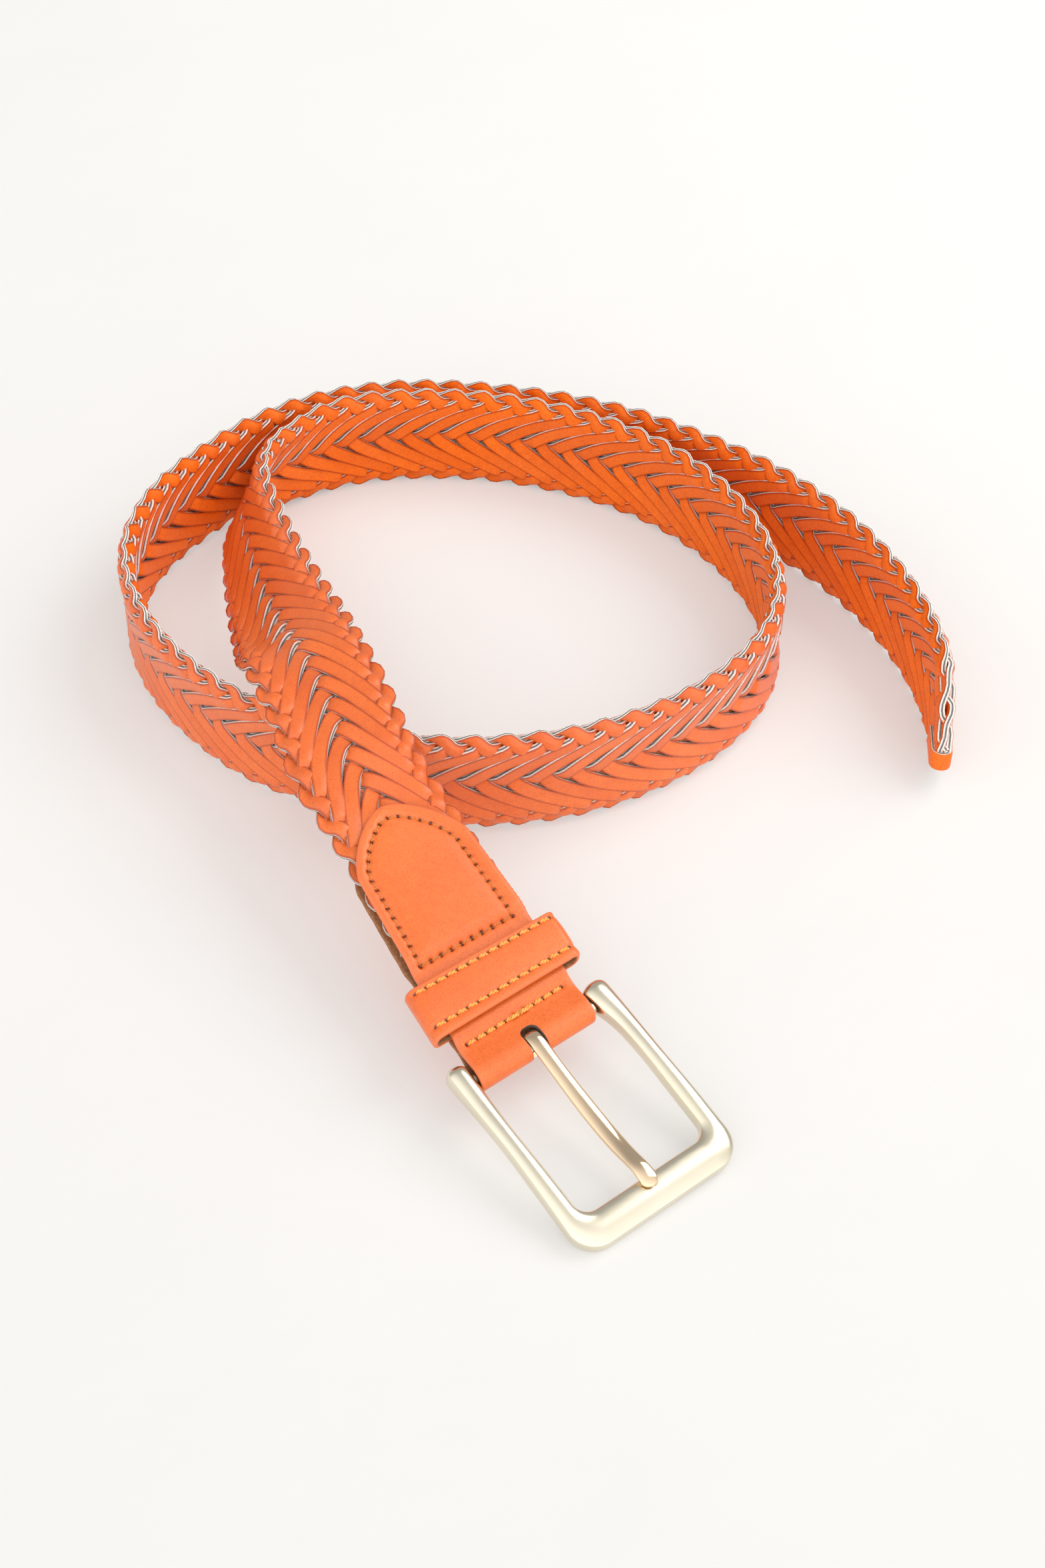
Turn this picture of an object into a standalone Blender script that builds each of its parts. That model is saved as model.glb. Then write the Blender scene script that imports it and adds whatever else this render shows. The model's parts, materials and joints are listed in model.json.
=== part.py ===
"""A braided leather belt, half coiled: buckle, prong, leather tab, keeper loop and braid.

The buckle end slopes down to the floor over the coil, which stands on its lower edge.
Lengths are metres, +Z is up, and the floor is z = 0.
"""

import math

import bmesh
import bpy
import numpy as np
from mathutils import Matrix, Vector

MM = 0.001
GAP = 0.3 * MM
FLOOR_GAP = 0.05 * MM

# Braid: a flat plait of leather strips, here as its plain outer solid.
BRAID_WIDTH = 35.0 * MM
BRAID_THICK = 4.0 * MM
STATION = 6.5 * MM

# Buckle end: slope and plan angle of the tab. The leather has been pulled a little askew, so
# the fold, the buckle, the keeper and the stitch rows lie at a small angle to the square.
SLOPE = math.radians(13.0)
TAB_ANGLE = math.radians(32.2)
ASKEW = math.radians(5.4)
ASKEW_FADE = (-75.0 * MM, -12.0 * MM)
TAB_SHIFT = -0.9 * MM
BAR_PLAN = (3.3 * MM, -102.6 * MM)
# Moves the whole belt so that the origin lies below the middle of its outline.
CENTRING = (-0.93 * MM, 4.16 * MM)

# Buckle frame, measured from the bar's axis towards the far bar.
FRAME_REAR = -5.5 * MM
FRAME_FRONT = 51.8 * MM
FRAME_HALF_WIDTH = 24.5 * MM
WINDOW_FRONT = 43.1 * MM
WINDOW_HALF_WIDTH = 19.0 * MM
FRAME_THICK = 4.8 * MM
FRAME_EDGE = 1.3 * MM
OUTER_CORNER = 7.5 * MM
INNER_CORNER = 4.0 * MM
ARM_ARCH = 1.2 * MM
BAR_RADIUS = 1.6 * MM
BAR_HALF_LENGTH = 22.3 * MM
BAR_POCKET = 22.7 * MM

# Prong: an eye round the bar and a sagging shank whose tip lies in a seat on the far bar.
PRONG_WIDTH = 4.2 * MM
EYE_RADIUS = 3.3 * MM
TIP_END = 46.9 * MM
PRONG_SHIFT = -0.8 * MM
NOTCH_DEPTH = 0.7 * MM
NOTCH_RADIUS = 2.9 * MM
NOTCH_HALF_LENGTH = 9.0 * MM

# Leather tab: front leaf, fold round the bar and back leaf, in one piece.
LEAF = 1.4 * MM
FOLD_CENTRE = 0.3 * MM
FOLD_INNER = BAR_RADIUS + GAP
TAB_HALF_WIDTH = 17.5 * MM
TAB_END = -75.0 * MM
SLOT_REAR = -5.6 * MM
SLOT_HALF_WIDTH = 2.7 * MM
TURNBACK_ROW = -7.7 * MM
CLOSING_ROW = -30.5 * MM
BRAID_START = 34.8 * MM

# Keeper loop: round the front leaf, its rear run lying between the leaves.
KEEPER_REAR = -26.4 * MM
KEEPER_FRONT = -11.9 * MM
KEEPER_HALF_WIDTH = 22.8 * MM
KEEPER_INNER_HALF = 20.7 * MM
KEEPER_RUN = 1.4 * MM
KEEPER_CLEARANCE = 0.6 * MM
LINING_THICK = 0.6 * MM

THREAD_RADIUS = 0.35 * MM
STITCH_INSET = 3.0 * MM

# Centre line of the braid in plan and its roll, from the tab to the tail tip, in millimetres
# and degrees: roll 0 lies flat, face up, and roll 90 stands on edge, face outwards.
FLAT_PATH = [
    (-43.9, -27.6, 35.4, 7.5),
    (-49.4, -13.1, 37.9, 5.0),
    (-55.0, 1.4, 38.7, 3.0),
    (-60.2, 14.0, 37.4, 5.0),
]
TWIST_PATH = [
    (-66.0, 31.2, 24.0),
    (-71.4, 47.9, 39.0),
    (-76.5, 64.8, 49.0),
    (-80.5, 79.5, 56.5),
    (-83.5, 95.1, 64.0),
    (-82.9, 106.7, 70.0),
    (-78.8, 116.9, 76.0),
    (-71.7, 123.9, 82.0),
    (-62.3, 130.9, 87.5),
]
COIL_PATH = [
    (-50.8, 135.7),
    (-28.8, 138.1),
    (-6.8, 136.0),
    (15.2, 129.2),
    (37.2, 116.9),
    (55.8, 98.4),
    (68.8, 74.4),
    (72.9, 51.4),
    (67.9, 29.4),
    (52.6, 9.2),
    (32.6, -4.8),
    (13.2, -12.6),
    (-7.8, -16.0),
    (-29.8, -15.2),
    (-51.8, -9.6),
    (-73.3, -0.2),
    (-90.3, 13.8),
    (-104.0, 31.1),
    (-112.5, 50.4),
    (-114.8, 71.4),
    (-109.4, 91.6),
    (-97.2, 110.0),
    (-81.2, 126.4),
    (-61.4, 137.7),
    (-36.8, 143.0),
    (-12.8, 141.9),
    (9.4, 137.6),
    (31.8, 130.0),
    (53.2, 118.0),
    (74.6, 102.2),
    (92.7, 82.4),
    (106.6, 58.5),
    (114.7, 33.6),
    (116.7, 9.4),
    (116.0, -0.6),
]
FLAT_HEIGHT = 38.4 * MM
# From this roll on, the braid's lower edge rests on the floor.
STANDING_ROLL = math.radians(60.0)

# Distances along the centre line, from the bar, where the braid bends like a hinge.
LIFT_HINGE = 128.0 * MM
TAIL_HINGES = (845.0 * MM, 905.0 * MM, 962.0 * MM)
# The standing coil is cut here into simple solids.
COIL_CUTS = (196.0 * MM, 385.0 * MM, 560.0 * MM, 720.0 * MM)
TIP_TAPER = 15.0 * MM
TIP_WRAP = 6.0 * MM

LEATHER = (0.80, 0.24, 0.10)
THREAD = (0.85, 0.42, 0.12)
NICKEL = (0.72, 0.69, 0.60)
PRONG_METAL = (0.74, 0.62, 0.50)


def clear_scene():
    for obj in list(bpy.data.objects):
        bpy.data.objects.remove(obj, do_unlink=True)


def make_collection(name):
    collection = bpy.data.collections.new(name)
    bpy.context.scene.collection.children.link(collection)
    return collection


def make_material(name, colour, roughness, metallic=0.0):
    material = bpy.data.materials.new(name)
    material.use_nodes = True
    shader = material.node_tree.nodes["Principled BSDF"]
    shader.inputs["Base Color"].default_value = (*colour, 1.0)
    shader.inputs["Roughness"].default_value = roughness
    shader.inputs["Metallic"].default_value = metallic
    return material


# ---------------------------------------------------------------- the belt's route


def tab_axes():
    """Unit vectors of the tab: along towards the buckle, across to the right edge, out of the face."""
    across = Vector((math.cos(TAB_ANGLE), math.sin(TAB_ANGLE), 0.0))
    level = Vector((math.sin(TAB_ANGLE), -math.cos(TAB_ANGLE), 0.0))
    along = level * math.cos(SLOPE) - Vector((0.0, 0.0, math.sin(SLOPE)))
    return along, across, along.cross(across)


def bar_centre():
    """The far bar's lower corner all but touches the floor, which sets the bar's height."""
    corner_x = (FRAME_FRONT - OUTER_CORNER) * math.cos(ASKEW)
    corner_y = (FRAME_HALF_WIDTH - OUTER_CORNER) * math.sin(ASKEW)
    reach = corner_x + corner_y + OUTER_CORNER - FRAME_EDGE
    height = reach * math.sin(SLOPE) + 0.5 * FRAME_THICK * math.cos(SLOPE) + FLOOR_GAP
    return Vector((BAR_PLAN[0] + CENTRING[0], BAR_PLAN[1] + CENTRING[1], height))


def route_stations():
    """Rows of x, y, z and roll in radians, from the bar to the tail tip."""
    along, _, _ = tab_axes()
    rows = []
    for distance in (0.0, 25.0 * MM, 50.0 * MM, 66.0 * MM, 76.0 * MM):
        rows.append((*(bar_centre() - along * distance), 0.0))
    shift_x, shift_y = CENTRING
    for x, y, z, roll in FLAT_PATH:
        rows.append((x * MM + shift_x, y * MM + shift_y, z * MM, math.radians(roll)))
    standing = 0.5 * BRAID_WIDTH
    for x, y, roll in TWIST_PATH:
        turn = math.radians(roll)
        height = FLAT_HEIGHT - (FLAT_HEIGHT - standing) * math.sin(turn)
        rows.append((x * MM + shift_x, y * MM + shift_y, height, turn))
    for x, y in COIL_PATH:
        rows.append((x * MM + shift_x, y * MM + shift_y, standing, 0.5 * math.pi))
    return np.array(rows)


def spline_through(knots, values, at):
    """Natural cubic spline through values at the knots, evaluated at the given places."""
    count = len(knots)
    step = np.diff(knots)
    system = np.eye(count)
    right = np.zeros((count, values.shape[1]))
    slope = np.diff(values, axis=0) / step[:, None]
    for i in range(1, count - 1):
        system[i, i - 1] = step[i - 1]
        system[i, i] = 2.0 * (step[i - 1] + step[i])
        system[i, i + 1] = step[i]
        right[i] = 6.0 * (slope[i] - slope[i - 1])
    second = np.linalg.solve(system, right)
    i = np.clip(np.searchsorted(knots, at) - 1, 0, count - 2)
    h = step[i][:, None]
    a = (knots[i + 1] - at)[:, None] / h
    b = 1.0 - a
    bend = ((a**3 - a) * second[i] + (b**3 - b) * second[i + 1]) * h**2 / 6.0
    return a * values[i] + b * values[i + 1] + bend


class Route:
    """The braid's centre line, asked by distance along it from the bar."""

    def __init__(self):
        stations = route_stations()
        chords = np.linalg.norm(np.diff(stations[:, :3], axis=0), axis=1)
        knots = np.concatenate([[0.0], np.cumsum(chords)])
        self.rows = spline_through(knots, stations, np.linspace(0.0, knots[-1], 4001))
        self.rows[:, 3] = np.minimum(self.rows[:, 3], 0.5 * math.pi)
        roll = self.rows[:, 3]
        above_floor = 0.5 * (BRAID_WIDTH * np.sin(roll) + BRAID_THICK * np.cos(roll))
        raised = np.maximum(self.rows[:, 2], above_floor)
        self.rows[:, 2] = np.where(roll > STANDING_ROLL, raised, self.rows[:, 2])
        lengths = np.linalg.norm(np.diff(self.rows[:, :3], axis=0), axis=1)
        self.distance = np.concatenate([[0.0], np.cumsum(lengths)])
        self.tangent = np.gradient(self.rows[:, :3], self.distance, axis=0)
        self.length = float(self.distance[-1])

    def frame(self, distance):
        """Centre, tangent, direction across to the upper edge, and the outer face's normal."""
        row = [np.interp(distance, self.distance, self.rows[:, k]) for k in range(4)]
        tangent = Vector([np.interp(distance, self.distance, self.tangent[:, k]) for k in range(3)])
        tangent.normalize()
        level = Vector((tangent.y, -tangent.x, 0.0)).normalized()
        upward = level.cross(tangent)
        across = level * math.cos(row[3]) + upward * math.sin(row[3])
        normal = upward * math.cos(row[3]) - level * math.sin(row[3])
        return Vector(row[:3]), tangent, across, normal


# ---------------------------------------------------------------- mesh helpers


def add_object(name, mesh, material, collection, parent=None):
    obj = bpy.data.objects.new(name, mesh)
    mesh.materials.clear()
    mesh.materials.append(material)
    collection.objects.link(obj)
    obj.parent = parent
    return obj


def mesh_from(bm, name):
    bmesh.ops.recalc_face_normals(bm, faces=bm.faces)
    mesh = bpy.data.meshes.new(name)
    bm.to_mesh(mesh)
    bm.free()
    return mesh


def loft(rings, name, closed=False):
    """A closed solid through rings of equal point count, capped at both ends unless it closes."""
    bm = bmesh.new()
    rows = [[bm.verts.new(point) for point in ring] for ring in rings]
    pairs = list(zip(rows, rows[1:]))
    if closed:
        pairs.append((rows[-1], rows[0]))
    for first, second in pairs:
        for i in range(len(first)):
            j = (i + 1) % len(first)
            bm.faces.new((first[i], first[j], second[j], second[i]))
    if not closed:
        bm.faces.new(rows[0])
        bm.faces.new(list(reversed(rows[-1])))
    return mesh_from(bm, name)


def outline_curve(name, outlines, half_thickness, bevel=0.0):
    """A flat filled outline, with holes, extruded both ways along local Z."""
    curve = bpy.data.curves.new(name, "CURVE")
    curve.dimensions = "2D"
    curve.fill_mode = "BOTH"
    curve.extrude = half_thickness - bevel
    curve.bevel_depth = bevel
    curve.bevel_resolution = 2
    curve.offset = -bevel
    for points in outlines:
        spline = curve.splines.new("POLY")
        spline.points.add(len(points) - 1)
        for target, (x, y) in zip(spline.points, points):
            target.co = (x, y, 0.0, 1.0)
        spline.use_cyclic_u = True
    return curve


def mesh_of_curve(curve, name):
    """The curve's evaluated mesh, with its loose caps welded on."""
    obj = bpy.data.objects.new(name, curve)
    bpy.context.scene.collection.objects.link(obj)
    evaluated = obj.evaluated_get(bpy.context.evaluated_depsgraph_get())
    mesh = bpy.data.meshes.new_from_object(evaluated)
    bpy.data.objects.remove(obj, do_unlink=True)
    bm = bmesh.new()
    bm.from_mesh(mesh)
    bmesh.ops.remove_doubles(bm, verts=bm.verts, dist=0.00001)
    bmesh.ops.recalc_face_normals(bm, faces=bm.faces)
    bm.to_mesh(mesh)
    bm.free()
    return mesh


def arc(centre, radius, start, end, steps):
    """Points on an arc in a plane, angles in degrees, both ends included."""
    angles = [math.radians(start + (end - start) * k / steps) for k in range(steps + 1)]
    return [(centre[0] + radius * math.cos(a), centre[1] + radius * math.sin(a)) for a in angles]


def cylinder_mesh(name, radius, start, end, sides=24):
    """A cylinder along local Y from start to end."""
    bm = bmesh.new()
    turn = Matrix.Rotation(math.radians(90.0), 4, "X")
    middle = Matrix.Translation((0.0, 0.5 * (start + end), 0.0))
    bmesh.ops.create_cone(
        bm, cap_ends=True, segments=sides, radius1=radius, radius2=radius,
        depth=abs(end - start), matrix=middle @ turn,
    )
    return mesh_from(bm, name)


def cut(obj, cutter, cutters, operation="DIFFERENCE"):
    """Cuts the object with the cutter, which stays hidden in the cutters' collection."""
    cutters.objects.link(cutter)
    cutter.parent = obj.parent
    cutter.hide_render = True
    cutter.display_type = "WIRE"
    boolean = obj.modifiers.new(cutter.name, "BOOLEAN")
    boolean.object = cutter
    boolean.operation = operation
    boolean.solver = "EXACT"


def shade_round(obj):
    obj.data.shade_smooth()
    obj.data.set_sharp_from_angle(angle=math.radians(35.0))


def thread_tube(name, points, material, collection, parent, cyclic=False):
    """A thin thread along the points."""
    curve = bpy.data.curves.new(name, "CURVE")
    curve.dimensions = "3D"
    curve.bevel_depth = THREAD_RADIUS
    curve.bevel_resolution = 1
    curve.use_fill_caps = True
    spline = curve.splines.new("POLY")
    spline.points.add(len(points) - 1)
    for target, point in zip(spline.points, points):
        target.co = (*point, 1.0)
    spline.use_cyclic_u = cyclic
    curve.materials.append(material)
    obj = bpy.data.objects.new(name, curve)
    collection.objects.link(obj)
    obj.parent = parent
    return obj


# ---------------------------------------------------------------- buckle


def frame_arch(x):
    """Rise of the frame's middle plane: none at the bar and at the far edge."""
    t = (x - FRAME_REAR) / (FRAME_FRONT - FRAME_REAR)
    return ARM_ARCH * math.sin(math.pi * min(max(t, 0.0), 1.0))


def buckle_frame(collection, cutters, parent, material):
    """A U of two arms and a far bar; the arms' rear bulbs hold the pin."""
    arm_mid = 0.5 * (FRAME_HALF_WIDTH + WINDOW_HALF_WIDTH)
    arm_half = 0.5 * (FRAME_HALF_WIDTH - WINDOW_HALF_WIDTH)
    rear = FRAME_REAR + arm_half
    front_out = FRAME_FRONT - OUTER_CORNER
    side_out = FRAME_HALF_WIDTH - OUTER_CORNER
    front_in = WINDOW_FRONT - INNER_CORNER
    side_in = WINDOW_HALF_WIDTH - INNER_CORNER
    outline = []
    outline += arc((rear, arm_mid), arm_half, 270.0, 90.0, 8)
    outline += [(x * front_out, FRAME_HALF_WIDTH) for x in (0.33, 0.66)]
    outline += arc((front_out, side_out), OUTER_CORNER, 90.0, 0.0, 8)
    outline += arc((front_out, -side_out), OUTER_CORNER, 0.0, -90.0, 8)
    outline += [(x * front_out, -FRAME_HALF_WIDTH) for x in (0.66, 0.33)]
    outline += arc((rear, -arm_mid), arm_half, 270.0, 90.0, 8)
    outline += [(x * front_in, -WINDOW_HALF_WIDTH) for x in (0.33, 0.66)]
    outline += arc((front_in, -side_in), INNER_CORNER, -90.0, 0.0, 5)
    outline += arc((front_in, side_in), INNER_CORNER, 0.0, 90.0, 5)
    outline += [(x * front_in, WINDOW_HALF_WIDTH) for x in (0.66, 0.33)]
    curve = outline_curve("frame_outline", [outline], 0.5 * FRAME_THICK, FRAME_EDGE)
    mesh = mesh_of_curve(curve, "buckle_frame")
    for vertex in mesh.vertices:
        vertex.co.z += frame_arch(vertex.co.x)
    frame = add_object("buckle_frame", mesh, material, collection, parent)
    for side in (-1.0, 1.0):
        pocket = cylinder_mesh(
            "pin_pocket", BAR_RADIUS + GAP,
            side * (WINDOW_HALF_WIDTH - 1.0 * MM), side * BAR_POCKET,
        )
        cut(frame, bpy.data.objects.new("pin_pocket", pocket), cutters)
    notch = cylinder_mesh("prong_notch", NOTCH_RADIUS, -NOTCH_HALF_LENGTH, NOTCH_HALF_LENGTH)
    notch.transform(Matrix.Rotation(math.radians(90.0), 4, "Z"))
    top = 0.5 * FRAME_THICK + frame_arch(TIP_END)
    lift = top - NOTCH_DEPTH + NOTCH_RADIUS
    middle = TIP_END + 0.8 * MM - NOTCH_HALF_LENGTH
    notch.transform(Matrix.Translation((middle, PRONG_SHIFT, lift)))
    cut(frame, bpy.data.objects.new("prong_notch", notch), cutters)
    shade_round(frame)


def buckle_bar(collection, parent, material):
    mesh = cylinder_mesh("buckle_bar", BAR_RADIUS, -BAR_HALF_LENGTH, BAR_HALF_LENGTH)
    shade_round(add_object("buckle_bar", mesh, material, collection, parent))


def prong_side():
    """Side view of the prong: centre x, centre z, half thickness and half width at each place."""
    rest = 0.5 * FRAME_THICK + frame_arch(TIP_END) + GAP
    half = 0.5 * PRONG_WIDTH
    return [
        (1.0 * MM, 2.6 * MM, 0.95 * MM, half),
        (6.0 * MM, 2.3 * MM, 1.1 * MM, half),
        (14.0 * MM, 1.5 * MM, 1.2 * MM, half * 1.05),
        (24.0 * MM, 1.2 * MM, 1.25 * MM, half * 1.12),
        (33.0 * MM, 1.9 * MM, 1.2 * MM, half * 1.1),
        (38.0 * MM, 3.0 * MM, 1.15 * MM, half * 1.08),
        (41.0 * MM, rest + 0.85 * MM, 1.0 * MM, half * 1.08),
        (44.0 * MM, rest + 0.85 * MM, 0.85 * MM, half * 1.1),
        (TIP_END - 1.0 * MM, rest + 0.75 * MM, 0.65 * MM, half),
        (TIP_END, rest + 0.6 * MM, 0.4 * MM, half * 0.55),
    ]


def prong(collection, cutters, parent, material):
    """Eye and shank lofted apart and joined, with the bar's hole through the eye."""
    rings = []
    for x, z, half, width in prong_side():
        ring = []
        for k in range(10):
            angle = 2.0 * math.pi * (k + 0.5) / 10
            y = PRONG_SHIFT + width * math.cos(angle)
            ring.append((x, y, z + half * math.sin(angle)))
        rings.append(ring)
    shank = add_object("prong", loft(rings, "prong"), material, collection, parent)
    half = 0.5 * PRONG_WIDTH
    eye = cylinder_mesh("prong_eye", EYE_RADIUS, PRONG_SHIFT - half, PRONG_SHIFT + half)
    cut(shank, bpy.data.objects.new("prong_eye", eye), cutters, "UNION")
    hole = cylinder_mesh("prong_hole", BAR_RADIUS + GAP, -5.0 * MM, 4.0 * MM)
    cut(shank, bpy.data.objects.new("prong_hole", hole), cutters)
    shade_round(shank)


# ---------------------------------------------------------------- tab and keeper


def half_gap(x):
    """Half the space between the leaves at a place behind the fold."""
    places = np.array([-80.0, -33.8, -29.6, -11.2, -9.4, -6.6, -1.0, 2.0]) * MM
    closed = 0.2 * MM
    keeper = 0.5 * KEEPER_RUN + GAP
    braid = 0.5 * BRAID_THICK + GAP
    gaps = [braid, braid, keeper, keeper, closed, closed, FOLD_INNER, FOLD_INNER]
    return float(np.interp(x, places, gaps))


def askew(point):
    """The point moved with the skewed leather: fully at the fold, not at all at the tip."""
    x, y, z = point
    share = (x - ASKEW_FADE[0]) / (ASKEW_FADE[1] - ASKEW_FADE[0])
    share = min(max(share, 0.0), 1.0)
    return (x - y * math.tan(ASKEW) * share, y + TAB_SHIFT, z)


def skew_mesh(mesh):
    for vertex in mesh.vertices:
        vertex.co = askew(vertex.co)


def front_face(x):
    """Height of the front leaf's outer face above the tab's middle plane."""
    return half_gap(x) + LEAF


def tab_profile():
    """Side view of the folded tab: outer face from the front tip round to the back, then inside."""
    places = [-80.0, -33.8, -29.6, -11.2, -9.4, -6.6, -1.0]
    rear = [x * MM for x in places]
    outer_radius = FOLD_INNER + LEAF
    outer = [(x, front_face(x)) for x in rear]
    outer += arc((FOLD_CENTRE, 0.0), outer_radius, 90.0, -90.0, 12)
    outer += [(x, -front_face(x)) for x in reversed(rear)]
    inner = [(x, -half_gap(x)) for x in rear]
    inner += arc((FOLD_CENTRE, 0.0), FOLD_INNER, -90.0, 90.0, 10)
    inner += [(x, half_gap(x)) for x in reversed(rear)]
    return outer + inner


def tab_outline(inset=0.0):
    """Plan of the tab's blunt pointed end, from the fold's left side round the tip to the right."""
    half = TAB_HALF_WIDTH - inset
    half_tip = 16.4 * MM - inset
    shoulder = -58.5 * MM
    end = TAB_END + inset
    side = [(CLOSING_ROW, half), (-46.0 * MM, half - 0.2 * MM), (shoulder, half_tip)]
    side += [(shoulder - 4.0 * MM, half_tip - 1.7 * MM), (end + 4.6 * MM, 8.9 * MM - 0.6 * inset)]
    side += [(end + 1.8 * MM, 5.7 * MM - 0.4 * inset), (end, 1.8 * MM)]
    return side + [(x, -y) for x, y in reversed(side)]


def tab_leather(collection, cutters, parent, material):
    half = TAB_HALF_WIDTH
    rings = [[(x, y, z) for x, z in tab_profile()] for y in (-half, half)]
    mesh = loft(rings, "tab_leather")
    skew_mesh(mesh)
    tab = add_object("tab_leather", mesh, material, collection, parent)
    fold_end = (FOLD_CENTRE + FOLD_INNER + LEAF + 2.0 * MM, half + 1.0 * MM)
    plan = [fold_end, (CLOSING_ROW, half + 1.0 * MM)] + tab_outline()
    plan += [(CLOSING_ROW, -half - 1.0 * MM), (fold_end[0], -fold_end[1])]
    shape = mesh_of_curve(outline_curve("tab_plan", [plan], 12.0 * MM), "tab_plan")
    skew_mesh(shape)
    cut(tab, bpy.data.objects.new("tab_plan", shape), cutters, "INTERSECT")
    slot = arc((SLOT_REAR + SLOT_HALF_WIDTH, 0.0), SLOT_HALF_WIDTH, 90.0, 270.0, 10)
    slot += [(12.0 * MM, -SLOT_HALF_WIDTH), (12.0 * MM, SLOT_HALF_WIDTH)]
    opening = mesh_of_curve(outline_curve("prong_slot", [slot], 12.0 * MM), "prong_slot")
    skew_mesh(opening)
    cut(tab, bpy.data.objects.new("prong_slot", opening), cutters)
    shade_round(tab)


def tab_threads(collection, parent, material):
    """The outline row with its closing row, and the straight row behind the fold."""
    lift = GAP + THREAD_RADIUS
    outline = tab_outline(STITCH_INSET)
    loop = [(x, y, front_face(min(x, -34.5 * MM)) + lift) for x, y in outline]
    loop[0] = (CLOSING_ROW - 1.5 * MM, loop[0][1], loop[0][2])
    loop[-1] = (CLOSING_ROW - 1.5 * MM, loop[-1][1], loop[-1][2])
    loop = [askew(point) for point in loop]
    thread_tube("tab_outline_thread", loop, material, collection, parent, cyclic=True)
    height = front_face(TURNBACK_ROW) + lift
    reach = TAB_HALF_WIDTH - STITCH_INSET
    row = [askew((TURNBACK_ROW, y * reach, height)) for y in (-1.0, 0.0, 1.0)]
    thread_tube("turnback_thread", row, material, collection, parent)


def rounded_box(half_width, low, high, radius, steps=5):
    """Outline in y and z with round corners."""
    corners = [
        ((half_width - radius, high - radius), 0.0),
        ((radius - half_width, high - radius), 90.0),
        ((radius - half_width, low + radius), 180.0),
        ((half_width - radius, low + radius), 270.0),
    ]
    points = []
    for centre, start in corners:
        points += arc(centre, radius, start, start + 90.0, steps)
    return points


def keeper_heights():
    """Under side and upper side of the keeper's front run."""
    lining_low = front_face(KEEPER_FRONT) + KEEPER_CLEARANCE
    low = lining_low + LINING_THICK + GAP
    return lining_low, low, low + KEEPER_RUN


def keeper(collection, parent, leather, thread):
    lining_low, low, high = keeper_heights()
    outer = rounded_box(KEEPER_HALF_WIDTH, -0.5 * KEEPER_RUN, high, 2.6 * MM)
    inner = rounded_box(KEEPER_INNER_HALF, 0.5 * KEEPER_RUN, low, 1.2 * MM)
    rings = []
    for (oy, oz), (iy, iz) in zip(outer, inner):
        rings.append(
            [
                (KEEPER_REAR, oy, oz),
                (KEEPER_FRONT, oy, oz),
                (KEEPER_FRONT, iy, iz),
                (KEEPER_REAR, iy, iz),
            ]
        )
    band = loft(rings, "keeper_band", True)
    skew_mesh(band)
    add_object("keeper_band", band, leather, collection, parent)
    reach = KEEPER_INNER_HALF - 2.0 * MM
    bm = bmesh.new()
    bmesh.ops.create_cube(bm, size=1.0)
    length = KEEPER_FRONT - KEEPER_REAR - 2.0 * MM
    middle = Vector((0.5 * (KEEPER_FRONT + KEEPER_REAR), 0.0, lining_low + 0.5 * LINING_THICK))
    place = Matrix.Translation(middle) @ Matrix.Diagonal((length, 2.0 * reach, LINING_THICK, 1.0))
    bmesh.ops.transform(bm, matrix=place, verts=bm.verts)
    lining = mesh_from(bm, "keeper_lining")
    skew_mesh(lining)
    add_object("keeper_lining", lining, leather, collection, parent)
    height = high + GAP + THREAD_RADIUS
    rows = (("keeper_thread_front", KEEPER_FRONT - 2.2 * MM), ("keeper_thread_rear", KEEPER_REAR + 2.2 * MM))
    for name, x in rows:
        row = [askew((x, y * 19.5 * MM, height)) for y in (-1.0, 0.0, 1.0)]
        thread_tube(name, row, thread, collection, parent)


# ---------------------------------------------------------------- braid


def braid_ring(route, distance, half_thick, low=None, high=None):
    """Rectangle across the braid at a distance along it; low and high are its edges."""
    centre, _, across, normal = route.frame(distance)
    low = -0.5 * BRAID_WIDTH if low is None else low
    high = 0.5 * BRAID_WIDTH if high is None else high
    corners = ((low, -1), (high, -1), (high, 1), (low, 1))
    return [centre + across * w + normal * side * half_thick for w, side in corners]


def hinge_end(route, hinge, direction):
    """Rings that round a section's end about a hinge line, starting at the line."""
    radius = 0.5 * BRAID_THICK
    rings = []
    for degrees in (0.0, 35.0, 62.0, 82.0):
        a = math.radians(degrees)
        rings.append(braid_ring(route, hinge + direction * radius * math.sin(a), radius * math.cos(a)))
    return rings


def braid_section(route, start, end, round_start=False, round_end=False):
    """Rings of a plain stretch; a rounded end is centred on its hinge line."""
    count = max(2, int(round((end - start) / STATION)) + 1)
    places = np.linspace(start, end, count)
    rings = [braid_ring(route, d, 0.5 * BRAID_THICK) for d in places]
    if round_start:
        rings = list(reversed(hinge_end(route, start, -1.0))) + rings[1:]
    if round_end:
        rings = rings[:-1] + hinge_end(route, end, 1.0)
    return rings


def tip_edges(route, distance):
    """Edges of the tapering tip, which ends low and narrow."""
    t = (distance - (route.length - TIP_WRAP - TIP_TAPER)) / (TIP_WRAP + TIP_TAPER)
    t = min(max(t, 0.0), 1.0)
    low = -0.5 * BRAID_WIDTH + 6.0 * MM * t**2
    high = 0.5 * BRAID_WIDTH - 21.0 * MM * t**1.5
    return low, high


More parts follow.
